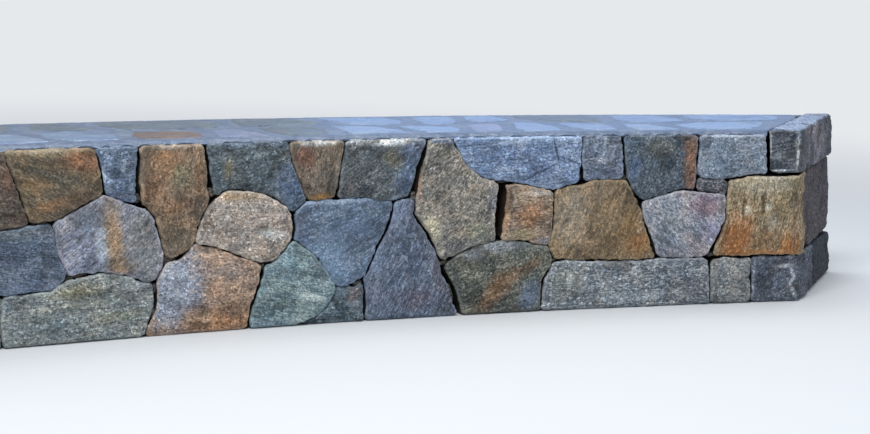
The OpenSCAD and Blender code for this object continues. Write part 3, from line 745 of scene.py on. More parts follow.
def withLip(points):
    along, depth, fromEnd = placesOf(points)[:3]
    rim = np.minimum.reduce([along, depth, wall["thickness"] - depth, fromEnd])
    often, bendAlong, bendInto = lip["waves"]
    wave = 0.5 + 0.5 * np.sin(along * often + lip["waveBend"] * np.sin(along * bendAlong + depth * bendInto))
    for part in ("top", "foot"):
        share = smoothStep(points[:, 2], *lip[part])
        share = 1 - share if part == "foot" else share
        drop, waveDrop = lip[f"{part}Drop"]
        points[:, 2] -= (drop + waveDrop * wave) * share * (1 - smoothStep(rim, *lip[f"{part}Reach"]))
    return points


total = 0


# Joins the meshes into one piece that rides on the wall and, where a node is named, stands for it
def addPiece(name, meshes, nodeName):
    global total
    parts = [bpy.data.objects.new(f"{name}.{i}", mesh) for i, mesh in enumerate(meshes)]
    for part in parts:
        bpy.context.collection.objects.link(part)
    piece = parts[0]
    if len(parts) > 1:
        with bpy.context.temp_override(
                active_object=piece, object=piece, selected_objects=parts, selected_editable_objects=parts):
            bpy.ops.object.join()
    piece.name = name
    piece.data.name = name
    for old in ("free", "give"):
        if old in piece.data.attributes:
            piece.data.attributes.remove(piece.data.attributes[old])
    total += sum(len(p.vertices) - 2 for p in piece.data.polygons)
    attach(piece, "root")
    if nodeName:
        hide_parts(nodeName)


# Face stones and quoins: rock, record slot, dark, plain and light colours, bed angle, stains, some of which
# are painted light as noted beside them
stoneLooks = {
    "base_stone_1": {
        "rock": "granite", "slot": "grey_granite", "colours": ("#4f565b", "#6a7173", "#8a9092")},
    "base_stone_2": {
        "rock": "granite", "slot": "olive_granite", "bed": 3, "colours": ("#5e6667", "#7c8484", "#9da4a3"),
        "stains": [
            ("#817c5a", 700, 140, 90, 20, 2, 0.50), ("#a6ab9e", 720, 104, 150, 8, 3, 0.45),
            ("#5b626a", 515, 134, 40, 34, 0, 0.55), ("#827e5c", 830, 66, 70, 16, 5, 0.40),
            ("#74838a", 640, 42, 90, 30, 0, 0.50), ("#90969a", 865, 140, 50, 34, 0, 0.55),
            ("#62676b", 655, 156, 44, 14, 4, 0.55)]},
    "base_stone_3": {
        "rock": "granite", "slot": "pink_granite", "bed": -6, "contrast": 0.92,
        "colours": ("#7c6859", "#9a8371", "#b8a291"),
        "stains": [
            ("#8d98a8", 978, 160, 88, 160, 24, 0.92), ("#a99a90", 1150, 166, 60, 36, -10, 0.50),
            ("#a07653", 1110, 34, 150, 42, -4, 0.75), ("#8a7262", 1200, 180, 26, 30, 0, 0.50),
            ("#b39377", 1062, 36, 60, 26, 0, 0.80), ("#a88e79", 1148, 68, 34, 34, 0, 0.55),
            ("#8b919b", 1002, 212, 36, 20, 0, 0.60),
            ("#9f8067", 1140, 100, 70, 40, -10, 0.50), ("#939eae", 962, 72, 48, 60, 20, 0.70)]},
    "base_stone_4": {
        "rock": "slate", "slot": "olive_granite", "bed": -12, "contrast": 1.35,
        "colours": ("#53656b", "#6d8086", "#8fa1a5"),
        "stains": [
            ("#8ba3a9", 1330, 190, 70, 26, -10, 0.60), ("#4c5c5e", 1304, 76, 42, 40, 20, 0.70),
            ("#5b5554", 1432, 160, 24, 34, 30, 0.60), ("#bccac9", 1396, 82, 50, 10, -12, 0.70),
            ("#7d8d98", 1255, 10, 60, 14, 0, 0.60), ("#5f6f79", 1415, 140, 30, 34, 30, 0.55)]},
    "base_stone_5": {
        "rock": "gneiss", "slot": "dark_gneiss", "contrast": 1.2,
        "colours": ("#39454c", "#4f5e67", "#70808a"),
        "stains": [
            ("#7c6a68", 1532, 78, 24, 32, 0, 0.60), ("#6b7d8a", 1470, 98, 36, 26, 0, 0.55),
            ("#6d7b86", 1540, 52, 26, 20, 0, 0.55)]},
    "base_stone_6": {
        "rock": "schist", "slot": "blue_slate", "bed": 65, "contrast": 1.3,
        "colours": ("#444c5c", "#596475", "#7a8699"),
        "stains": [
            ("#7f8da5", 1660, 310, 34, 60, 0, 0.60), ("#474a52", 1725, 256, 26, 50, 25, 0.60),
            ("#76849a", 1592, 168, 34, 40, 0, 0.55), ("#504c55", 1806, 110, 26, 90, 20, 0.65),
            ("#665c68", 1720, 60, 60, 34, 0, 0.45), ("#6b7b90", 1584, 30, 40, 30, 0, 0.50)]},
    "base_stone_7": {
        "rock": "gneiss", "slot": "dark_gneiss", "bed": 18, "contrast": 1.35,
        "colours": ("#40443f", "#5a5c57", "#7c8077"),
        "stains": [
            ("#8b9095", 1925, 198, 110, 24, 2, 0.80), ("#bcc3c6", 1893, 174, 30, 7, -8, 0.75),
            ("#7b8086", 2030, 204, 60, 14, 0, 0.65), ("#868b90", 1912, 176, 40, 18, 0, 0.60),
            ("#7c5f45", 1975, 70, 90, 34, 46, 0.80),
            ("#73593f", 2075, 132, 60, 20, 30, 0.60), ("#6e7c90", 2088, 52, 38, 46, 0, 0.75),
            ("#3b4145", 1850, 104, 14, 46, 10, 0.60), ("#4a504a", 1915, 76, 40, 46, 0, 0.50)]},
    "base_stone_8": {
        "rock": "granite", "slot": "grey_granite", "bed": 2, "contrast": 1.3,
        "colours": ("#555c63", "#777e85", "#a2a8ac"),
        "stains": [
            ("#85887a", 2205, 80, 56, 50, 0, 0.55), ("#c0c4c0", 2218, 92, 11, 20, -10, 0.70),
            ("#a0a8ad", 2420, 36, 130, 16, 0, 0.65), ("#a0a5a8", 2400, 136, 120, 9, 0, 0.65),
            ("#50555e", 2630, 48, 66, 46, 0, 0.65), ("#565c63", 2645, 126, 36, 16, 0, 0.60),
            ("#5f666b", 2350, 88, 24, 22, 0, 0.45), ("#959a9f", 2330, 70, 70, 12, 3, 0.50)]},
    "base_stone_9": {
        "rock": "granite", "slot": "grey_granite", "bed": 0, "colours": ("#5e6162", "#7b7e7f", "#989b9b")},
    "middle_stone_1": {
        "rock": "schist", "slot": "olive_granite", "colours": ("#5c5851", "#78726a", "#928c82")},
    "middle_stone_2": {
        "rock": "slate", "slot": "blue_slate", "bed": -8, "contrast": 1.25,
        "colours": ("#3c4654", "#515d6c", "#707e91"),
        "stains": [
            ("#5e6465", 520, 312, 100, 30, 0, 0.65), ("#75829a", 570, 150, 90, 22, 0, 0.60),
            ("#4a5566", 612, 235, 22, 52, 0, 0.50), ("#3b465a", 520, 230, 50, 30, 0, 0.40)]},
    "middle_stone_3": {
        "rock": "schist", "slot": "pink_granite", "bed": 40, "contrast": 1.05,
        "colours": ("#646672", "#7d7f8a", "#9da0ab"),
        "stains": [
            ("#7c7d79", 885, 250, 60, 120, 0, 0.65), ("#b4c2cf", 768, 258, 18, 66, 6, 0.60),
            ("#a28765", 806, 256, 28, 130, 8, 0.80), ("#857056", 832, 196, 44, 22, -8, 0.60),
            ("#7c7875", 790, 357, 44, 13, 0, 0.55), ("#8a93a8", 705, 215, 46, 70, 0, 0.60),
            ("#696e78", 915, 290, 16, 60, -10, 0.55), ("#8d99aa", 718, 322, 26, 36, 0, 0.60)]},
    "middle_stone_4": {
        "rock": "granite", "slot": "pink_granite", "bed": -5, "contrast": 0.78,
        "colours": ("#81766d", "#9f948a", "#c0b7ae"),
        "stains": [
            ("#a38763", 1160, 372, 70, 14, -4, 0.60), ("#c3c8c8", 1270, 262, 42, 14, -10, 0.65),
            ("#a4947c", 1262, 203, 40, 14, -20, 0.50), ("#a89c96", 1320, 300, 36, 46, 0, 0.50),
            ("#b3aba2", 1130, 228, 80, 16, -8, 0.60)]},
    "middle_stone_5": {
        "rock": "slate", "slot": "blue_slate", "bed": 25, "colours": ("#4a5768", "#5f6e82", "#8091a7"),
        "stains": [
            ("#879db0", 1420, 196, 70, 50, 30, 0.70), ("#7e95ac", 1470, 150, 50, 36, 0, 0.65),
            ("#93a3b6", 1440, 344, 110, 6, 0, 0.50), ("#4f5c6d", 1562, 312, 36, 26, 0, 0.60)]},
    "middle_stone_6": {
        "rock": "schist", "slot": "rusty_schist", "bed": 8, "contrast": 1.4,
        "colours": ("#6b5d51", "#867666", "#a99987"),
        "stains": [
            ("#ab7d54", 2006, 310, 15, 66, 0, 0.75), ("#966c4c", 2085, 288, 56, 36, 10, 0.70),
            ("#6f6661", 2034, 250, 26, 34, 0, 0.55), ("#7a7f92", 2138, 206, 30, 18, 0, 0.60),
            ("#b7b0aa", 2110, 352, 50, 10, 0, 0.60), ("#8c8560", 2060, 232, 36, 16, 0, 0.45)]},
    "middle_stone_7": {
        "rock": "schist", "slot": "rusty_schist", "bed": 70, "contrast": 1.0,
        "colours": ("#625442", "#7f6d56", "#9e8c70"),
        "stains": [
            ("#948b7d", 2215, 280, 60, 100, 0, 0.60), ("#867052", 2375, 235, 70, 90, 0, 0.60),
            ("#8f6438", 2444, 190, 44, 40, 0, 0.70), ("#8b6c45", 2420, 262, 36, 50, -12, 0.50),
            ("#8f7f6c", 2300, 360, 70, 20, 0, 0.55),
            ("#5e5548", 2404, 354, 24, 20, 0, 0.50)]},
    "middle_stone_8": {
        "rock": "schist", "slot": "pink_granite", "bed": -38, "contrast": 1.35,
        "colours": ("#686c76", "#878a92", "#b0b1b8"),
        "stains": [
            ("#7d8894", 2540, 250, 50, 90, 0, 0.65), ("#8d727b", 2668, 306, 60, 40, 0, 0.70),
            ("#a29bb4", 2698, 228, 40, 36, 0, 0.75), ("#b8aba9", 2640, 184, 60, 18, -30, 0.65),
            ("#a5a6b0", 2566, 168, 44, 20, 0, 0.70), ("#aaa3a9", 2655, 166, 30, 24, 0, 0.60),
            ("#7a6f70", 2606, 342, 40, 14, 0, 0.60)]},
    "middle_quoin_right": {
        "rock": "schist", "slot": "rusty_schist", "bed": 78, "contrast": 1.3,
        "colours": ("#6c5c43", "#8a7a5f", "#aea088"),
        "stains": [
            ("#9d6434", 2778, 196, 66, 80, 0, 0.85), ("#98622f", 2960, 178, 40, 50, 0, 0.80),
            ("#735b41", 2880, 190, 50, 50, 0, 0.75), ("#a3672f", 2850, 154, 150, 10, 0, 0.55),
            ("#756450", 2974, 250, 20, 60, 0, 0.60), ("#958463", 2930, 300, 40, 50, 0, 0.50),
            ("#a39d8a", 2860, 362, 110, 26, 0, 0.65), ("#c3bfae", 2812, 290, 14, 14, 0, 0.70),
            ("#c3bfae", 2884, 296, 16, 12, 0, 0.70), ("#3f3527", 2866, 302, 9, 48, 3, 0.80),
            ("#453829", 2800, 304, 8, 40, -3, 0.75), ("#6a5d49", 2770, 330, 24, 34, 0, 0.50),
            ("#c0beb2", 2905, 386, 80, 7, 0, 0.65), ("#a39c8e", 2900, 250, 20, 30, 0, 0.60),
            ("#66554a", 2978, 234, 11, 70, 0, 0.60)]},
    "top_stone_1": {
        "rock": "granite", "slot": "grey_granite", "colours": ("#4d565d", "#6a757b", "#8b959b")},
    "top_stone_2": {
        "rock": "schist", "slot": "rusty_schist", "bed": -20, "colours": ("#40362f", "#5a4f47", "#776b61"),
        "stains": [("#70503f", 496, 440, 20, 40, 0, 0.45), ("#4c4a40", 460, 350, 50, 30, 0, 0.50)]},
    "top_stone_3": {
        "rock": "schist", "slot": "rusty_schist", "bed": -24, "contrast": 0.92,
        "colours": ("#4b4236", "#665a49", "#837560"),
        "stains": [
            ("#835d45", 700, 484, 64, 32, -8, 0.75), ("#a79574", 600, 503, 60, 8, -4, 0.55),
            # The pale band along the top arris (up 513) is partly lime wash and partly a painted highlight
            ("#b3a48a", 600, 513, 130, 9, 0, 0.55), ("#454842", 610, 446, 140, 16, -15, 0.60),
            ("#8e6a4a", 640, 374, 64, 18, 12, 0.70), ("#7b6a58", 690, 392, 50, 24, 0, 0.55),
            ("#7a664a", 560, 420, 46, 30, 0, 0.50)]},
    "top_stone_4": {
        "rock": "granite", "slot": "blue_slate", "bed": 12, "contrast": 0.95,
        "colours": ("#424d5e", "#59677b", "#7b8ba2"),
        "stains": [
            ("#8f9fb5", 774, 450, 16, 50, 0, 0.65), ("#b3bfcd", 766, 438, 8, 24, 0, 0.65),
            ("#a9b7c8", 823, 455, 10, 8, 0, 0.60), ("#535e70", 812, 386, 36, 16, 0, 0.60),
            ("#465160", 850, 502, 24, 20, 0, 0.55)]},
    "top_stone_5": {
        "rock": "granite", "slot": "rusty_schist", "bed": 84, "contrast": 0.75,
        "colours": ("#675746", "#7d6b58", "#978471"),
        "stains": [
            ("#9a8f80", 876, 462, 11, 90, 2, 0.65), ("#947050", 935, 474, 50, 44, 0, 0.65),
            ("#886850", 912, 404, 34, 50, 0, 0.50), ("#74755e", 990, 432, 30, 36, 0, 0.55),
            ("#8c6849", 1042, 420, 14, 60, 0, 0.50), ("#8b6a50", 985, 352, 50, 26, 0, 0.50),
            ("#837264", 1056, 336, 14, 40, 0, 0.55), ("#5f594c", 995, 256, 40, 36, 0, 0.65),
            # The pale band along the top arris (up 514) is partly lime wash and partly a painted highlight
            ("#56524f", 962, 226, 16, 22, 0, 0.60), ("#a9a298", 965, 514, 90, 9, 0, 0.60)]},
    "top_stone_6": {
        "rock": "gneiss", "slot": "dark_gneiss", "bed": 15, "colours": ("#3e474b", "#545e63", "#737d83"),
        "stains": [
            ("#877d61", 1130, 446, 14, 34, 0, 0.65), ("#52637d", 1325, 396, 60, 76, -20, 0.75),
            # The pale blue bands along the top arris (up 512 and 513) are partly lime wash and partly a
            # painted reflection of the wet top
            ("#707985", 1244, 370, 44, 22, 0, 0.60), ("#8a9db2", 1160, 512, 60, 10, 0, 0.60),
            ("#5a6b7c", 1304, 504, 40, 12, 0, 0.50), ("#8697ab", 1280, 513, 60, 10, 0, 0.50)]},
    "top_stone_7": {
        "rock": "schist", "slot": "rusty_schist", "bed": 75, "contrast": 1.1,
        "colours": ("#574e44", "#706357", "#8d8071"),
        "stains": [
            ("#8a5a44", 1362, 474, 30, 30, 0, 0.60), ("#625f58", 1420, 446, 24, 36, 0, 0.50),
            ("#9a6c2f", 1420, 358, 44, 12, 0, 0.70), ("#857f75", 1467, 410, 14, 60, 0, 0.65),
            # The whitish band along the top arris (up 512) is partly lime wash and partly a painted highlight
            ("#c8c8c4", 1400, 512, 66, 11, 0, 0.75)]},
    "top_stone_8": {
        "rock": "gneiss", "slot": "dark_gneiss", "bed": 30, "contrast": 1.2,
        "colours": ("#3c4345", "#50575b", "#70787e"),
        "stains": [
            ("#687a94", 1696, 400, 50, 140, -8, 0.90), ("#828da6", 1722, 484, 28, 24, 0, 0.65),
            ("#4f4a4e", 1500, 382, 26, 24, 0, 0.50), ("#6f664f", 1640, 460, 40, 24, -30, 0.55),
            # The whitish bands along the top arris (up 511 and 512) are partly lime wash and partly a painted
            # highlight
            ("#d0d4d5", 1615, 511, 100, 13, 0, 0.85), ("#a4abb2", 1500, 512, 40, 10, 0, 0.55)]},
    "top_stone_9": {
        "rock": "granite", "slot": "olive_granite", "bed": 40, "contrast": 1.35,
        "colours": ("#5f5c56", "#7f7c75", "#a09b92"),
        "stains": [
            ("#565862", 1826, 498, 36, 12, 0, 0.60), ("#5f5d57", 1812, 428, 60, 12, -20, 0.60),
            ("#9a7055", 1724, 390, 9, 60, 0, 0.65), ("#bab49c", 1764, 262, 28, 40, 26, 0.80),
            # The blue band along the top arris (up 511) is a painted reflection of the wet top
            ("#6b7a92", 1792, 511, 52, 8, 0, 0.80),
            ("#504d47", 1846, 250, 14, 10, 0, 0.60), ("#83866e", 1912, 250, 40, 24, 10, 0.55),
            ("#959596", 1962, 326, 20, 60, 0, 0.60), ("#565960", 1846, 200, 40, 24, 20, 0.75)]},
    "top_stone_10": {
        "rock": "slate", "slot": "blue_slate", "bed": 4, "contrast": 1.25,
        "colours": ("#56657e", "#7083a0", "#98abc8"),
        "stains": [
            # The pale blue band along the top arris (up 507) is a painted reflection of the wet top
            ("#a2b5cf", 2080, 507, 160, 9, 4, 0.60), ("#98abc7", 2180, 468, 100, 6, 5, 0.50),
            ("#62708a", 2080, 436, 60, 14, 4, 0.50), ("#5d6a80", 1858, 506, 26, 10, 0, 0.60),
            ("#2f3a4c", 2166, 470, 3, 40, 14, 0.85), ("#364356", 2110, 412, 70, 4, 24, 0.80),
            ("#364356", 2230, 440, 50, 3, -20, 0.70), ("#8ba0bf", 2010, 392, 50, 22, 0, 0.60)]},
    "top_stone_11": {
        "rock": "granite", "slot": "grey_granite", "bed": 12, "contrast": 1.1,
        "colours": ("#525c6c", "#6a7586", "#8b96a9"),
        "stains": [
            ("#b2bac8", 2320, 445, 14, 9, 0, 0.60), ("#8891a3", 2385, 430, 16, 60, 0, 0.60),
            ("#4e5663", 2262, 388, 12, 10, 0, 0.60), ("#5f6979", 2335, 478, 40, 20, 0, 0.45),
            ("#78849a", 2350, 394, 60, 14, 0, 0.50)]},
    "top_stone_12": {
        "rock": "gneiss", "slot": "dark_gneiss", "bed": 60, "contrast": 1.25,
        "colours": ("#353f49", "#4a5560", "#6c7883"),
        "stains": [
            ("#5f6259", 2520, 476, 50, 30, 0, 0.60), ("#86644e", 2622, 440, 28, 140, 3, 0.85),
            ("#5b7190", 2432, 420, 20, 40, 0, 0.60), ("#7d7470", 2620, 508, 40, 8, 0, 0.60),
            ("#667890", 2404, 500, 20, 20, 0, 0.50)]},
    "top_stone_13": {
        "rock": "granite", "slot": "grey_granite", "bed": 3, "contrast": 0.8,
        "colours": ("#626d79", "#7a8693", "#98a3b1"),
        # The pale blue-grey band along the top arris (up 513) is a painted reflection of the wet top
        "stains": [("#a3adba", 2750, 513, 110, 4, 0, 0.55), ("#7c8aa2", 2664, 500, 16, 24, 0, 0.50)]},
    "pinning_stone": {
        "rock": "gneiss", "slot": "dark_gneiss", "contrast": 1.5,
        "colours": ("#33373d", "#54575c", "#86888e")},
    "base_quoin_right": {
        "rock": "gneiss", "slot": "dark_gneiss", "bed": 35, "colours": ("#3a404c", "#515863", "#767f8b"),
        "stains": [
            ("#b7bec5", 2942, 112, 34, 6, 4, 0.70), ("#c0c6cc", 2974, 90, 6, 24, 26, 0.70),
            ("#c0c6cc", 2970, 60, 6, 20, -30, 0.65), ("#b7bec5", 2978, 32, 8, 28, 30, 0.65),
            ("#98a0a9", 2842, 75, 5, 70, 0, 0.55), ("#6f7782", 2920, 138, 70, 6, 0, 0.55),
            ("#8c939c", 2912, 22, 30, 6, 20, 0.45)]},
    "top_quoin_right": {
        "rock": "gneiss", "slot": "dark_gneiss", "bed": 20, "contrast": 1.1,
        "colours": ("#2c3137", "#41464e", "#6b727b"),
        "stains": [
            ("#c4c9ce", 2894, 462, 4, 80, 0, 0.65), ("#c4c9ce", 2936, 407, 46, 4, 2, 0.80),
            ("#ccd1d6", 2993, 470, 5, 60, 0, 0.85), ("#8a9199", 2925, 452, 24, 12, 20, 0.50),
            ("#747b85", 2930, 502, 40, 12, 0, 0.60), ("#8a919b", 2994, 500, 10, 40, 0, 0.60),
            # The last two stains are painted light: the shaded end face is painted lighter, and a pale blue
            # band on the top is a painted reflection of a wet top
            ("#85828b", 3180, 460, 150, 90, 0, 0.80), ("#8797b0", 3100, 531, 420, 5, 0, 0.90)]},
    "base_quoin_left": {
        "rock": "slate", "slot": "blue_slate", "built": "open",
        "colours": ("#475262", "#5f6b7b", "#7c8a9b")},
    "middle_quoin_left": {
        "rock": "schist", "slot": "rusty_schist", "built": "open",
        "colours": ("#635443", "#7f6d58", "#9d8d77"),
        "stains": [("#8a6238", 80, 250, 60, 60, 0, 0.50)]},
    "top_quoin_left": {
        "rock": "granite", "slot": "blue_slate", "built": "open",
        "colours": ("#4f5968", "#677383", "#8693a4")},
    "end_base_stone": {
        "rock": "gneiss", "slot": "dark_gneiss", "built": "open",
        "colours": ("#20232b", "#30343f", "#4a4f5b")},
    "end_middle_stone": {
        "rock": "gneiss", "slot": "dark_gneiss", "bed": 70, "built": "open",
        "colours": ("#38343a", "#4e4a50", "#6c676c")},
}
for seed, (nodeName, look) in enumerate(stoneLooks.items(), 1):
    solid = solidsOf(nodeName)[0]
    material = stoneMaterial(f"{look['slot']}.{nodeName}", look, middleOf(solid), seed)
    kind = "quoin" if nodeName == "top_quoin_right" else "stone"
    # The stones with stains are meshed finest, as all but one of them are in view
    voxel = dressing["finest" if "stains" in look else "aside"]
    mesh = dressSolid(solid, look, material, seed, voxel, kind)
    addPiece(f"{nodeName}.stone", [mesh], nodeName)
say(f"face stones and quoins, {total} triangles")

# Packing: small chips wedged back in the wider joints
packing = {
    "look": {"rock": "gneiss", "colours": ("#3a3733", "#56524c", "#77726b"), "dry": 0.9, "wet": 0.7},
    "back": 13,  # mm from the face to a chip's front
    "halfDepth": 16,
    "roundness": 0.35,
    "ballSize": 1.25,
    "roughness": 0.006,
    "often": 60.0,
    "blockCuts": (7, 5, 7),
    "noisePlace": (1.7, 0.4, 2.3),
    "seed": 90,
}
# Along and up in mm, width, height, turn in degrees
chips = (
    (975, 206, 34, 28, 12), (706, 175, 62, 11, 12), (872, 373, 20, 20, 30), (1092, 381, 22, 20, 20),
    (1249, 171, 18, 17, 0), (1550, 80, 15, 34, -14), (1545, 110, 30, 10, 8), (1713, 345, 14, 36, 0),
    (2165, 150, 36, 10, 0), (2702, 151, 20, 13, 10), (2402, 389, 16, 14, 20), (2249, 394, 16, 14, 0),
    (2442, 317, 18, 12, 0), (1815, 156, 30, 11, 15), (600, 322, 44, 9, 6), (2000, 386, 30, 8, 0),
    (932, 60, 14, 30, 5), (932, 130, 14, 26, -5), (1838, 70, 12, 44, 23), (2141, 60, 11, 30, 0),
    (1240, 60, 11, 30, -12),
)


def jointChipsTree():
    tree = geometryTree("jointChips", ("Roundness", "Roughness"), ("Seed",))
    add = partial(addNode, tree)
    given = add("NodeGroupInput").outputs
    half, turned = (
        add("GeometryNodeInputNamedAttribute", {0: kept}, data_type="FLOAT_VECTOR")
        for kept in ("half", "turned"))
    turned = add("FunctionNodeEulerToRotation", {0: turned})
    block = add("GeometryNodeMeshCube", {
        "Size": (2, 2, 2), ("Vertices X", "Vertices Y", "Vertices Z"): packing["blockCuts"]})
    position = add("GeometryNodeInputPosition")
    ball = add("ShaderNodeVectorMath", {0: position}, operation="NORMALIZE")
    ball = add("ShaderNodeVectorMath", {0: ball, 3: packing["ballSize"]}, operation="SCALE")
    rounded = add("ShaderNodeMix", {0: given["Roundness"], 4: position, 5: ball}, data_type="VECTOR")
    block = add("GeometryNodeSetPosition", {"Geometry": block, "Position": rounded})
    laid = add("GeometryNodeInstanceOnPoints", {
        "Points": given["Geometry"], "Instance": block, "Rotation": turned, "Scale": half})
    real = add("GeometryNodeRealizeInstances", {"Geometry": laid})
    place = add("ShaderNodeVectorMath", {0: position, 1: given["Seed"]}, operation="ADD")
    bumps = add("ShaderNodeTexNoise", {
        "Vector": place, "Scale": packing["often"], "Detail": 2.0}).outputs["Color"]
    bumps = add("ShaderNodeVectorMath", {0: bumps, 1: halfWay}, operation="SUBTRACT")
    bumps = add("ShaderNodeVectorMath", {0: bumps, 3: given["Roughness"]}, operation="SCALE")
    broken = add("GeometryNodeSetPosition", {"Geometry": real, "Offset": bumps})
    marked = add("GeometryNodeStoreNamedAttribute", {
        "Geometry": broken, "Name": "exposed", "Value": 1.0}, data_type="FLOAT", domain="POINT")
    coated = add("GeometryNodeSetMaterial", {"Geometry": marked, "Material": given["Material"]})
    add("NodeGroupOutput", {0: coated})
    return tree


def makeChips():
    deep, halfDepth = (packing["back"] + packing["halfDepth"]) / 1000, packing["halfDepth"] / 1000
    points = bpy.data.meshes.new("chips")
    points.from_pydata([wallPoint(chip[0] / 1000, deep, chip[1] / 1000) for chip in chips], [], [])
    halves = [(width / 2000, halfDepth, height / 2000) for u, z, width, height, turn in chips]
    turns = [(0, -math.radians(turn), -wallAngle(u / 1000, z / 1000)) for u, z, width, height, turn in chips]
    for name, values in (("half", halves), ("turned", turns)):
        layer = points.attributes.new(name, "FLOAT_VECTOR", "POINT")
        layer.data.foreach_set("vector", np.array(values, np.float32).ravel())
    blank = bpy.data.objects.new("chips", points)
    bpy.context.collection.objects.link(blank)
    wedging = blank.modifiers.new("wedging", "NODES")
    wedging.node_group = jointChipsTree()
    setInputs(wedging, {
        "Roundness": packing["roundness"], "Roughness": packing["roughness"], "Seed": packing["noisePlace"],
        "Material": stoneMaterial("packingChips", packing["look"], wallMiddle, packing["seed"])})
    mesh = evaluated(blank)
    bpy.data.objects.remove(blank)
    mesh.shade_smooth()
    return mesh


addPiece("joint_chips", [makeChips()], None)
say(f"packing chips, {total} triangles")

# Back courses: rough stones of the same rocks, dealt out in turn
backLooks = [
    {"rock": "granite", "bed": 4, "built": "open", "colours": ("#5e6467", "#747a7c", "#8d9395")},
    {"rock": "schist", "bed": -10, "built": "open", "colours": ("#6a5c4d", "#7e6e5b", "#948471")},
    {"rock": "slate", "bed": 8, "built": "open", "colours": ("#4e5967", "#5f6b7b", "#798795")},
    {"rock": "gneiss", "bed": 20, "built": "open", "colours": ("#454c52", "#586067", "#717a82")},
    {"rock": "granite", "bed": -6, "built": "open", "colours": ("#7f7871", "#928a82", "#a9a29b")},
    {"rock": "schist", "bed": 30, "built": "open", "colours": ("#5d564d", "#706960", "#888177")},
]
backDeal = {"step": 5, "rowStep": 2, "run": 3, "firstSeed": 100, "rowSeeds": 20}
for row, nodeName in enumerate(("back_base_course", "back_middle_course", "back_top_course")):
    meshes = []
    for k, solid in enumerate(sorted(solidsOf(nodeName), key=lambda m: middleOf(m).x)):
        turn = k * backDeal["step"] + row * backDeal["rowStep"] + k // backDeal["run"]
        look = backLooks[turn % len(backLooks)]
        seed = backDeal["firstSeed"] + row * backDeal["rowSeeds"] + k
        material = stoneMaterial(f"rough_{look['rock']}.{row}_{k}", look, middleOf(solid), seed)
        meshes.append(dressSolid(solid, look, material, seed, dressing["coarsest"]))
    addPiece(f"{nodeName}.stones", meshes, nodeName)
say(f"back courses, {total} triangles")

# Top: a damp mortar bed and the worn flags in it, some blue, some grey, one rusty
capLooks = {
    # The mortar's rim takes the pale arrises at full strength: partly wear, partly a painted highlight
    "mortar": {
        "rock": "mortar", "colours": ("#49566c", "#57667d", "#6c7c94"), "wet": 0.40, "dry": 0.62,
        "edge": 1.0, "jointShade": 0.0, "film": 0.35},
    "blue": {
        "rock": "flag", "colours": ("#4f6280", "#607695", "#778dac"), "wet": 0.30, "dry": 0.50,
        "jointShade": 0.0, "film": 0.6},
    "palest": {
        "rock": "flag", "colours": ("#566c8a", "#687e9c", "#8095b1"), "wet": 0.30, "dry": 0.46,
        "jointShade": 0.0, "film": 0.55},
    "lavender": {
        "rock": "flag", "colours": ("#596380", "#6b7592", "#818ba8"), "wet": 0.30, "dry": 0.50,
        "jointShade": 0.0, "film": 0.45},
    "grey": {
        "rock": "flag", "colours": ("#49525d", "#56616c", "#69747f"), "wet": 0.36, "dry": 0.54,
        "jointShade": 0.0, "film": 0.18},
    "brown": {
        "rock": "flag", "colours": ("#544844", "#645651", "#786a65"), "wet": 0.34, "dry": 0.54,
        "jointShade": 0.0, "film": 0.15},
}
cap = {
    "deal": ("blue", "palest", "blue", "lavender", "blue", "palest", "grey"),
    "reach": 110,  # mm round a place below
    "belowFlags": 0.0028,
    "underFlags": 1.03,  # how far the mortar runs on below a flag, as a share of its size
    "mortarSeed": 201,
    "colourSeed": 210,
    "flagSeed": 220,
}

# Flags of another colour, by their place along and across the top in mm
flagPlaces = (
    ("brown", 995, 150), ("grey", 1075, 400), ("grey", 1395, 150), ("grey", 1405, 400),
    ("lavender", 1990, 150), ("grey", 620, 400), ("palest", 1610, 150), ("palest", 2500, 150),
    ("palest", 2750, 150), ("blue", 2250, 150), ("grey", 2300, 400), ("lavender", 2420, 150),
)


def flagKind(middle, turn):
    along, depth = (float(v[0]) * 1000 for v in placesOf(np.array([middle]))[:2])
    for kind, u, d in flagPlaces:
        if math.hypot(along - u, depth - d) < cap["reach"]:
            return kind
    return cap["deal"][turn % len(cap["deal"])]


# The mortar runs on below the flags, so that they are bedded in it with no gap round them
def filledBed():
    bed = bmesh.new()
    bed.from_mesh(solidsOf("cap_mortar")[0])
    for solid in solidsOf("cap_flags"):
        middle = middleOf(solid)
        for vert in solid.vertices:
            vert.co = middle + (vert.co - middle) * cap["underFlags"]
            vert.co.z -= cap["belowFlags"]
        bed.from_mesh(solid)
    mesh = bpy.data.meshes.new("bed")
    bed.to_mesh(mesh)
    bed.free()
    return mesh


def capMaterial(name, kind, seed):
    return stoneMaterial(name, capLooks[kind], Vector((0, 0, wall["height"])), seed)


def dressCap(solid, kind, material, seed):
    return dressSolid(solid, capLooks[kind], material, seed, dressing["capVoxel"], "cap")


material = capMaterial("dampMortar", "mortar", cap["mortarSeed"])
mesh = dressCap(filledBed(), "mortar", material, cap["mortarSeed"])
addPiece("cap_mortar.bed", [mesh], "cap_mortar")
flagMaterials = {
    kind: capMaterial(f"wetFlag.{kind}", kind, cap["colourSeed"] + k)
    for k, kind in enumerate(capLooks) if kind != "mortar"}
meshes = []
for k, solid in enumerate(sorted(solidsOf("cap_flags"), key=lambda m: round(middleOf(m).x, 3))):
    kind = flagKind(middleOf(solid), k)
    meshes.append(dressCap(solid, kind, flagMaterials[kind], cap["flagSeed"] + k))
addPiece("cap_flags.stones", meshes, "cap_flags")
say(f"top, {total} triangles")

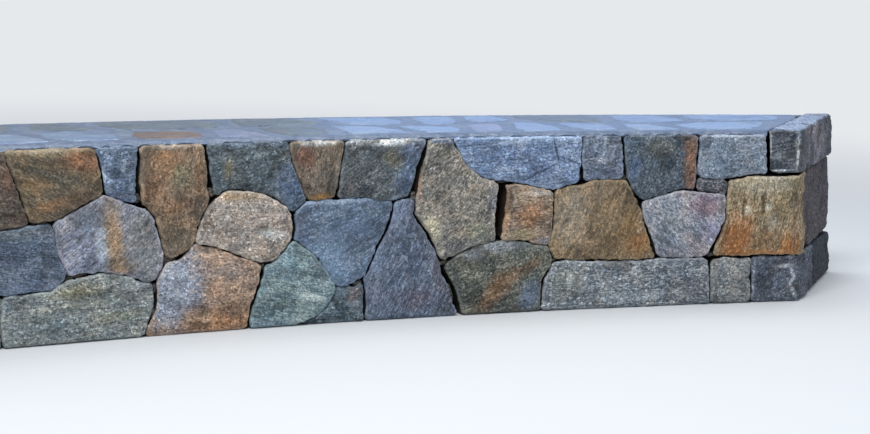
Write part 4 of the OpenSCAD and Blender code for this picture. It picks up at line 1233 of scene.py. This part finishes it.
# Hearting: packed rubble coloured very dark, partly its own tone and partly painted shade, as it only shows
# deep in the joints
heartLook = {
    "rock": "gneiss", "colours": ("#2a2723", "#37332e", "#45413b"), "dry": 0.95, "wet": 0.9, "seed": 300}
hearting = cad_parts["hearting"].data.materials
hearting.clear()
hearting.append(stoneMaterial("packedRubble", heartLook, wallMiddle, heartLook["seed"]))

# Floor: a plain pale sheet that fades into the world's own tone and runs out of sight
stageLook = {
    "floor": "#c4c7ca",
    "floorRoughness": 0.8,
    "floorSides": 96,
    "sky": "#e6e9ec",
    "daylight": "#dce4ee",
    "light": 0.5,
    "fade": (2.2, 6.0),
    "reach": 60,
}


def makeFloor():
    bpy.ops.mesh.primitive_circle_add(
        vertices=stageLook["floorSides"], radius=stageLook["reach"], fill_type="NGON")
    floor = bpy.context.object
    floor.name = "floor"
    material = bpy.data.materials.new("paleStudioFloor")
    material.use_nodes = True
    tree = material.node_tree
    tree.nodes.clear()
    add = partial(addNode, tree)
    # Lit and shadowed near the wall, and fading into the backdrop's own tone further out
    place = add("ShaderNodeTexCoord").outputs["Object"]
    away = add("ShaderNodeVectorMath", {0: place}, operation="LENGTH")
    far = add("ShaderNodeMapRange", {
        "Value": away, fromEnds: stageLook["fade"]}, interpolation_type="SMOOTHSTEP")
    seen = add("ShaderNodeLightPath").outputs["Is Camera Ray"]
    far = add("ShaderNodeMath", {0: far, 1: seen}, operation="MULTIPLY")
    lit = add("ShaderNodeBsdfPrincipled", {
        "Base Color": toLinear(stageLook["floor"]), "Roughness": stageLook["floorRoughness"]})
    plain = add("ShaderNodeEmission", {0: toLinear(stageLook["sky"]), 1: 1.0})
    mixed = add("ShaderNodeMixShader", {0: far, 1: lit, 2: plain})
    add("ShaderNodeOutputMaterial", {0: mixed})
    floor.data.materials.append(material)


def makeWorld():
    world = bpy.data.worlds.new("studio")
    bpy.context.scene.world = world
    world.use_nodes = True
    tree = world.node_tree
    tree.nodes.clear()
    add = partial(addNode, tree)
    seen = add("ShaderNodeLightPath").outputs["Is Camera Ray"]
    backdrop = add("ShaderNodeBackground", {0: toLinear(stageLook["sky"]), 1: 1.0})
    lighting = add("ShaderNodeBackground", {0: toLinear(stageLook["daylight"]), 1: stageLook["light"]})
    mixed = add("ShaderNodeMixShader", {0: seen, 1: lighting, 2: backdrop})
    add("ShaderNodeOutputWorld", {0: mixed})


# Lamps: place, size in metres, power in watts, and a colour where it isn't white
lamps = {
    "key": {"place": (-2.2, -3.0, 5.6), "size": 2.2, "power": 345},
    "top": {"place": (1.0, 0.5, 4.5), "size": 3.0, "power": 110},
    "fill": {"place": (3.5, -3.5, 2.5), "size": 3.0, "power": 40},
    "rear": {"place": (-4.4, 3.9, 3.4), "size": 6.0, "power": 125},
    "skyPanel": {"place": (9.0, 10.0, 3.4), "size": 9.0, "power": 180, "colour": "#84b1f8"},
}
lampAim = Vector((0, 0, 0.25))


def makeLamps():
    for name, lamp in lamps.items():
        data = bpy.data.lights.new(name, "AREA")
        data.size = lamp["size"]
        data.energy = lamp["power"]
        data.color = toLinear(lamp.get("colour", "#ffffff"))[:3]
        light = bpy.data.objects.new(name, data)
        light.location = lamp["place"]
        aim = lampAim - light.location
        light.rotation_euler = aim.to_track_quat("-Z", "Y").to_euler()
        bpy.context.collection.objects.link(light)


makeFloor()
makeWorld()
makeLamps()
bpy.context.scene.view_settings.view_transform = "Standard"
say(f"studio, {total} triangles in all")
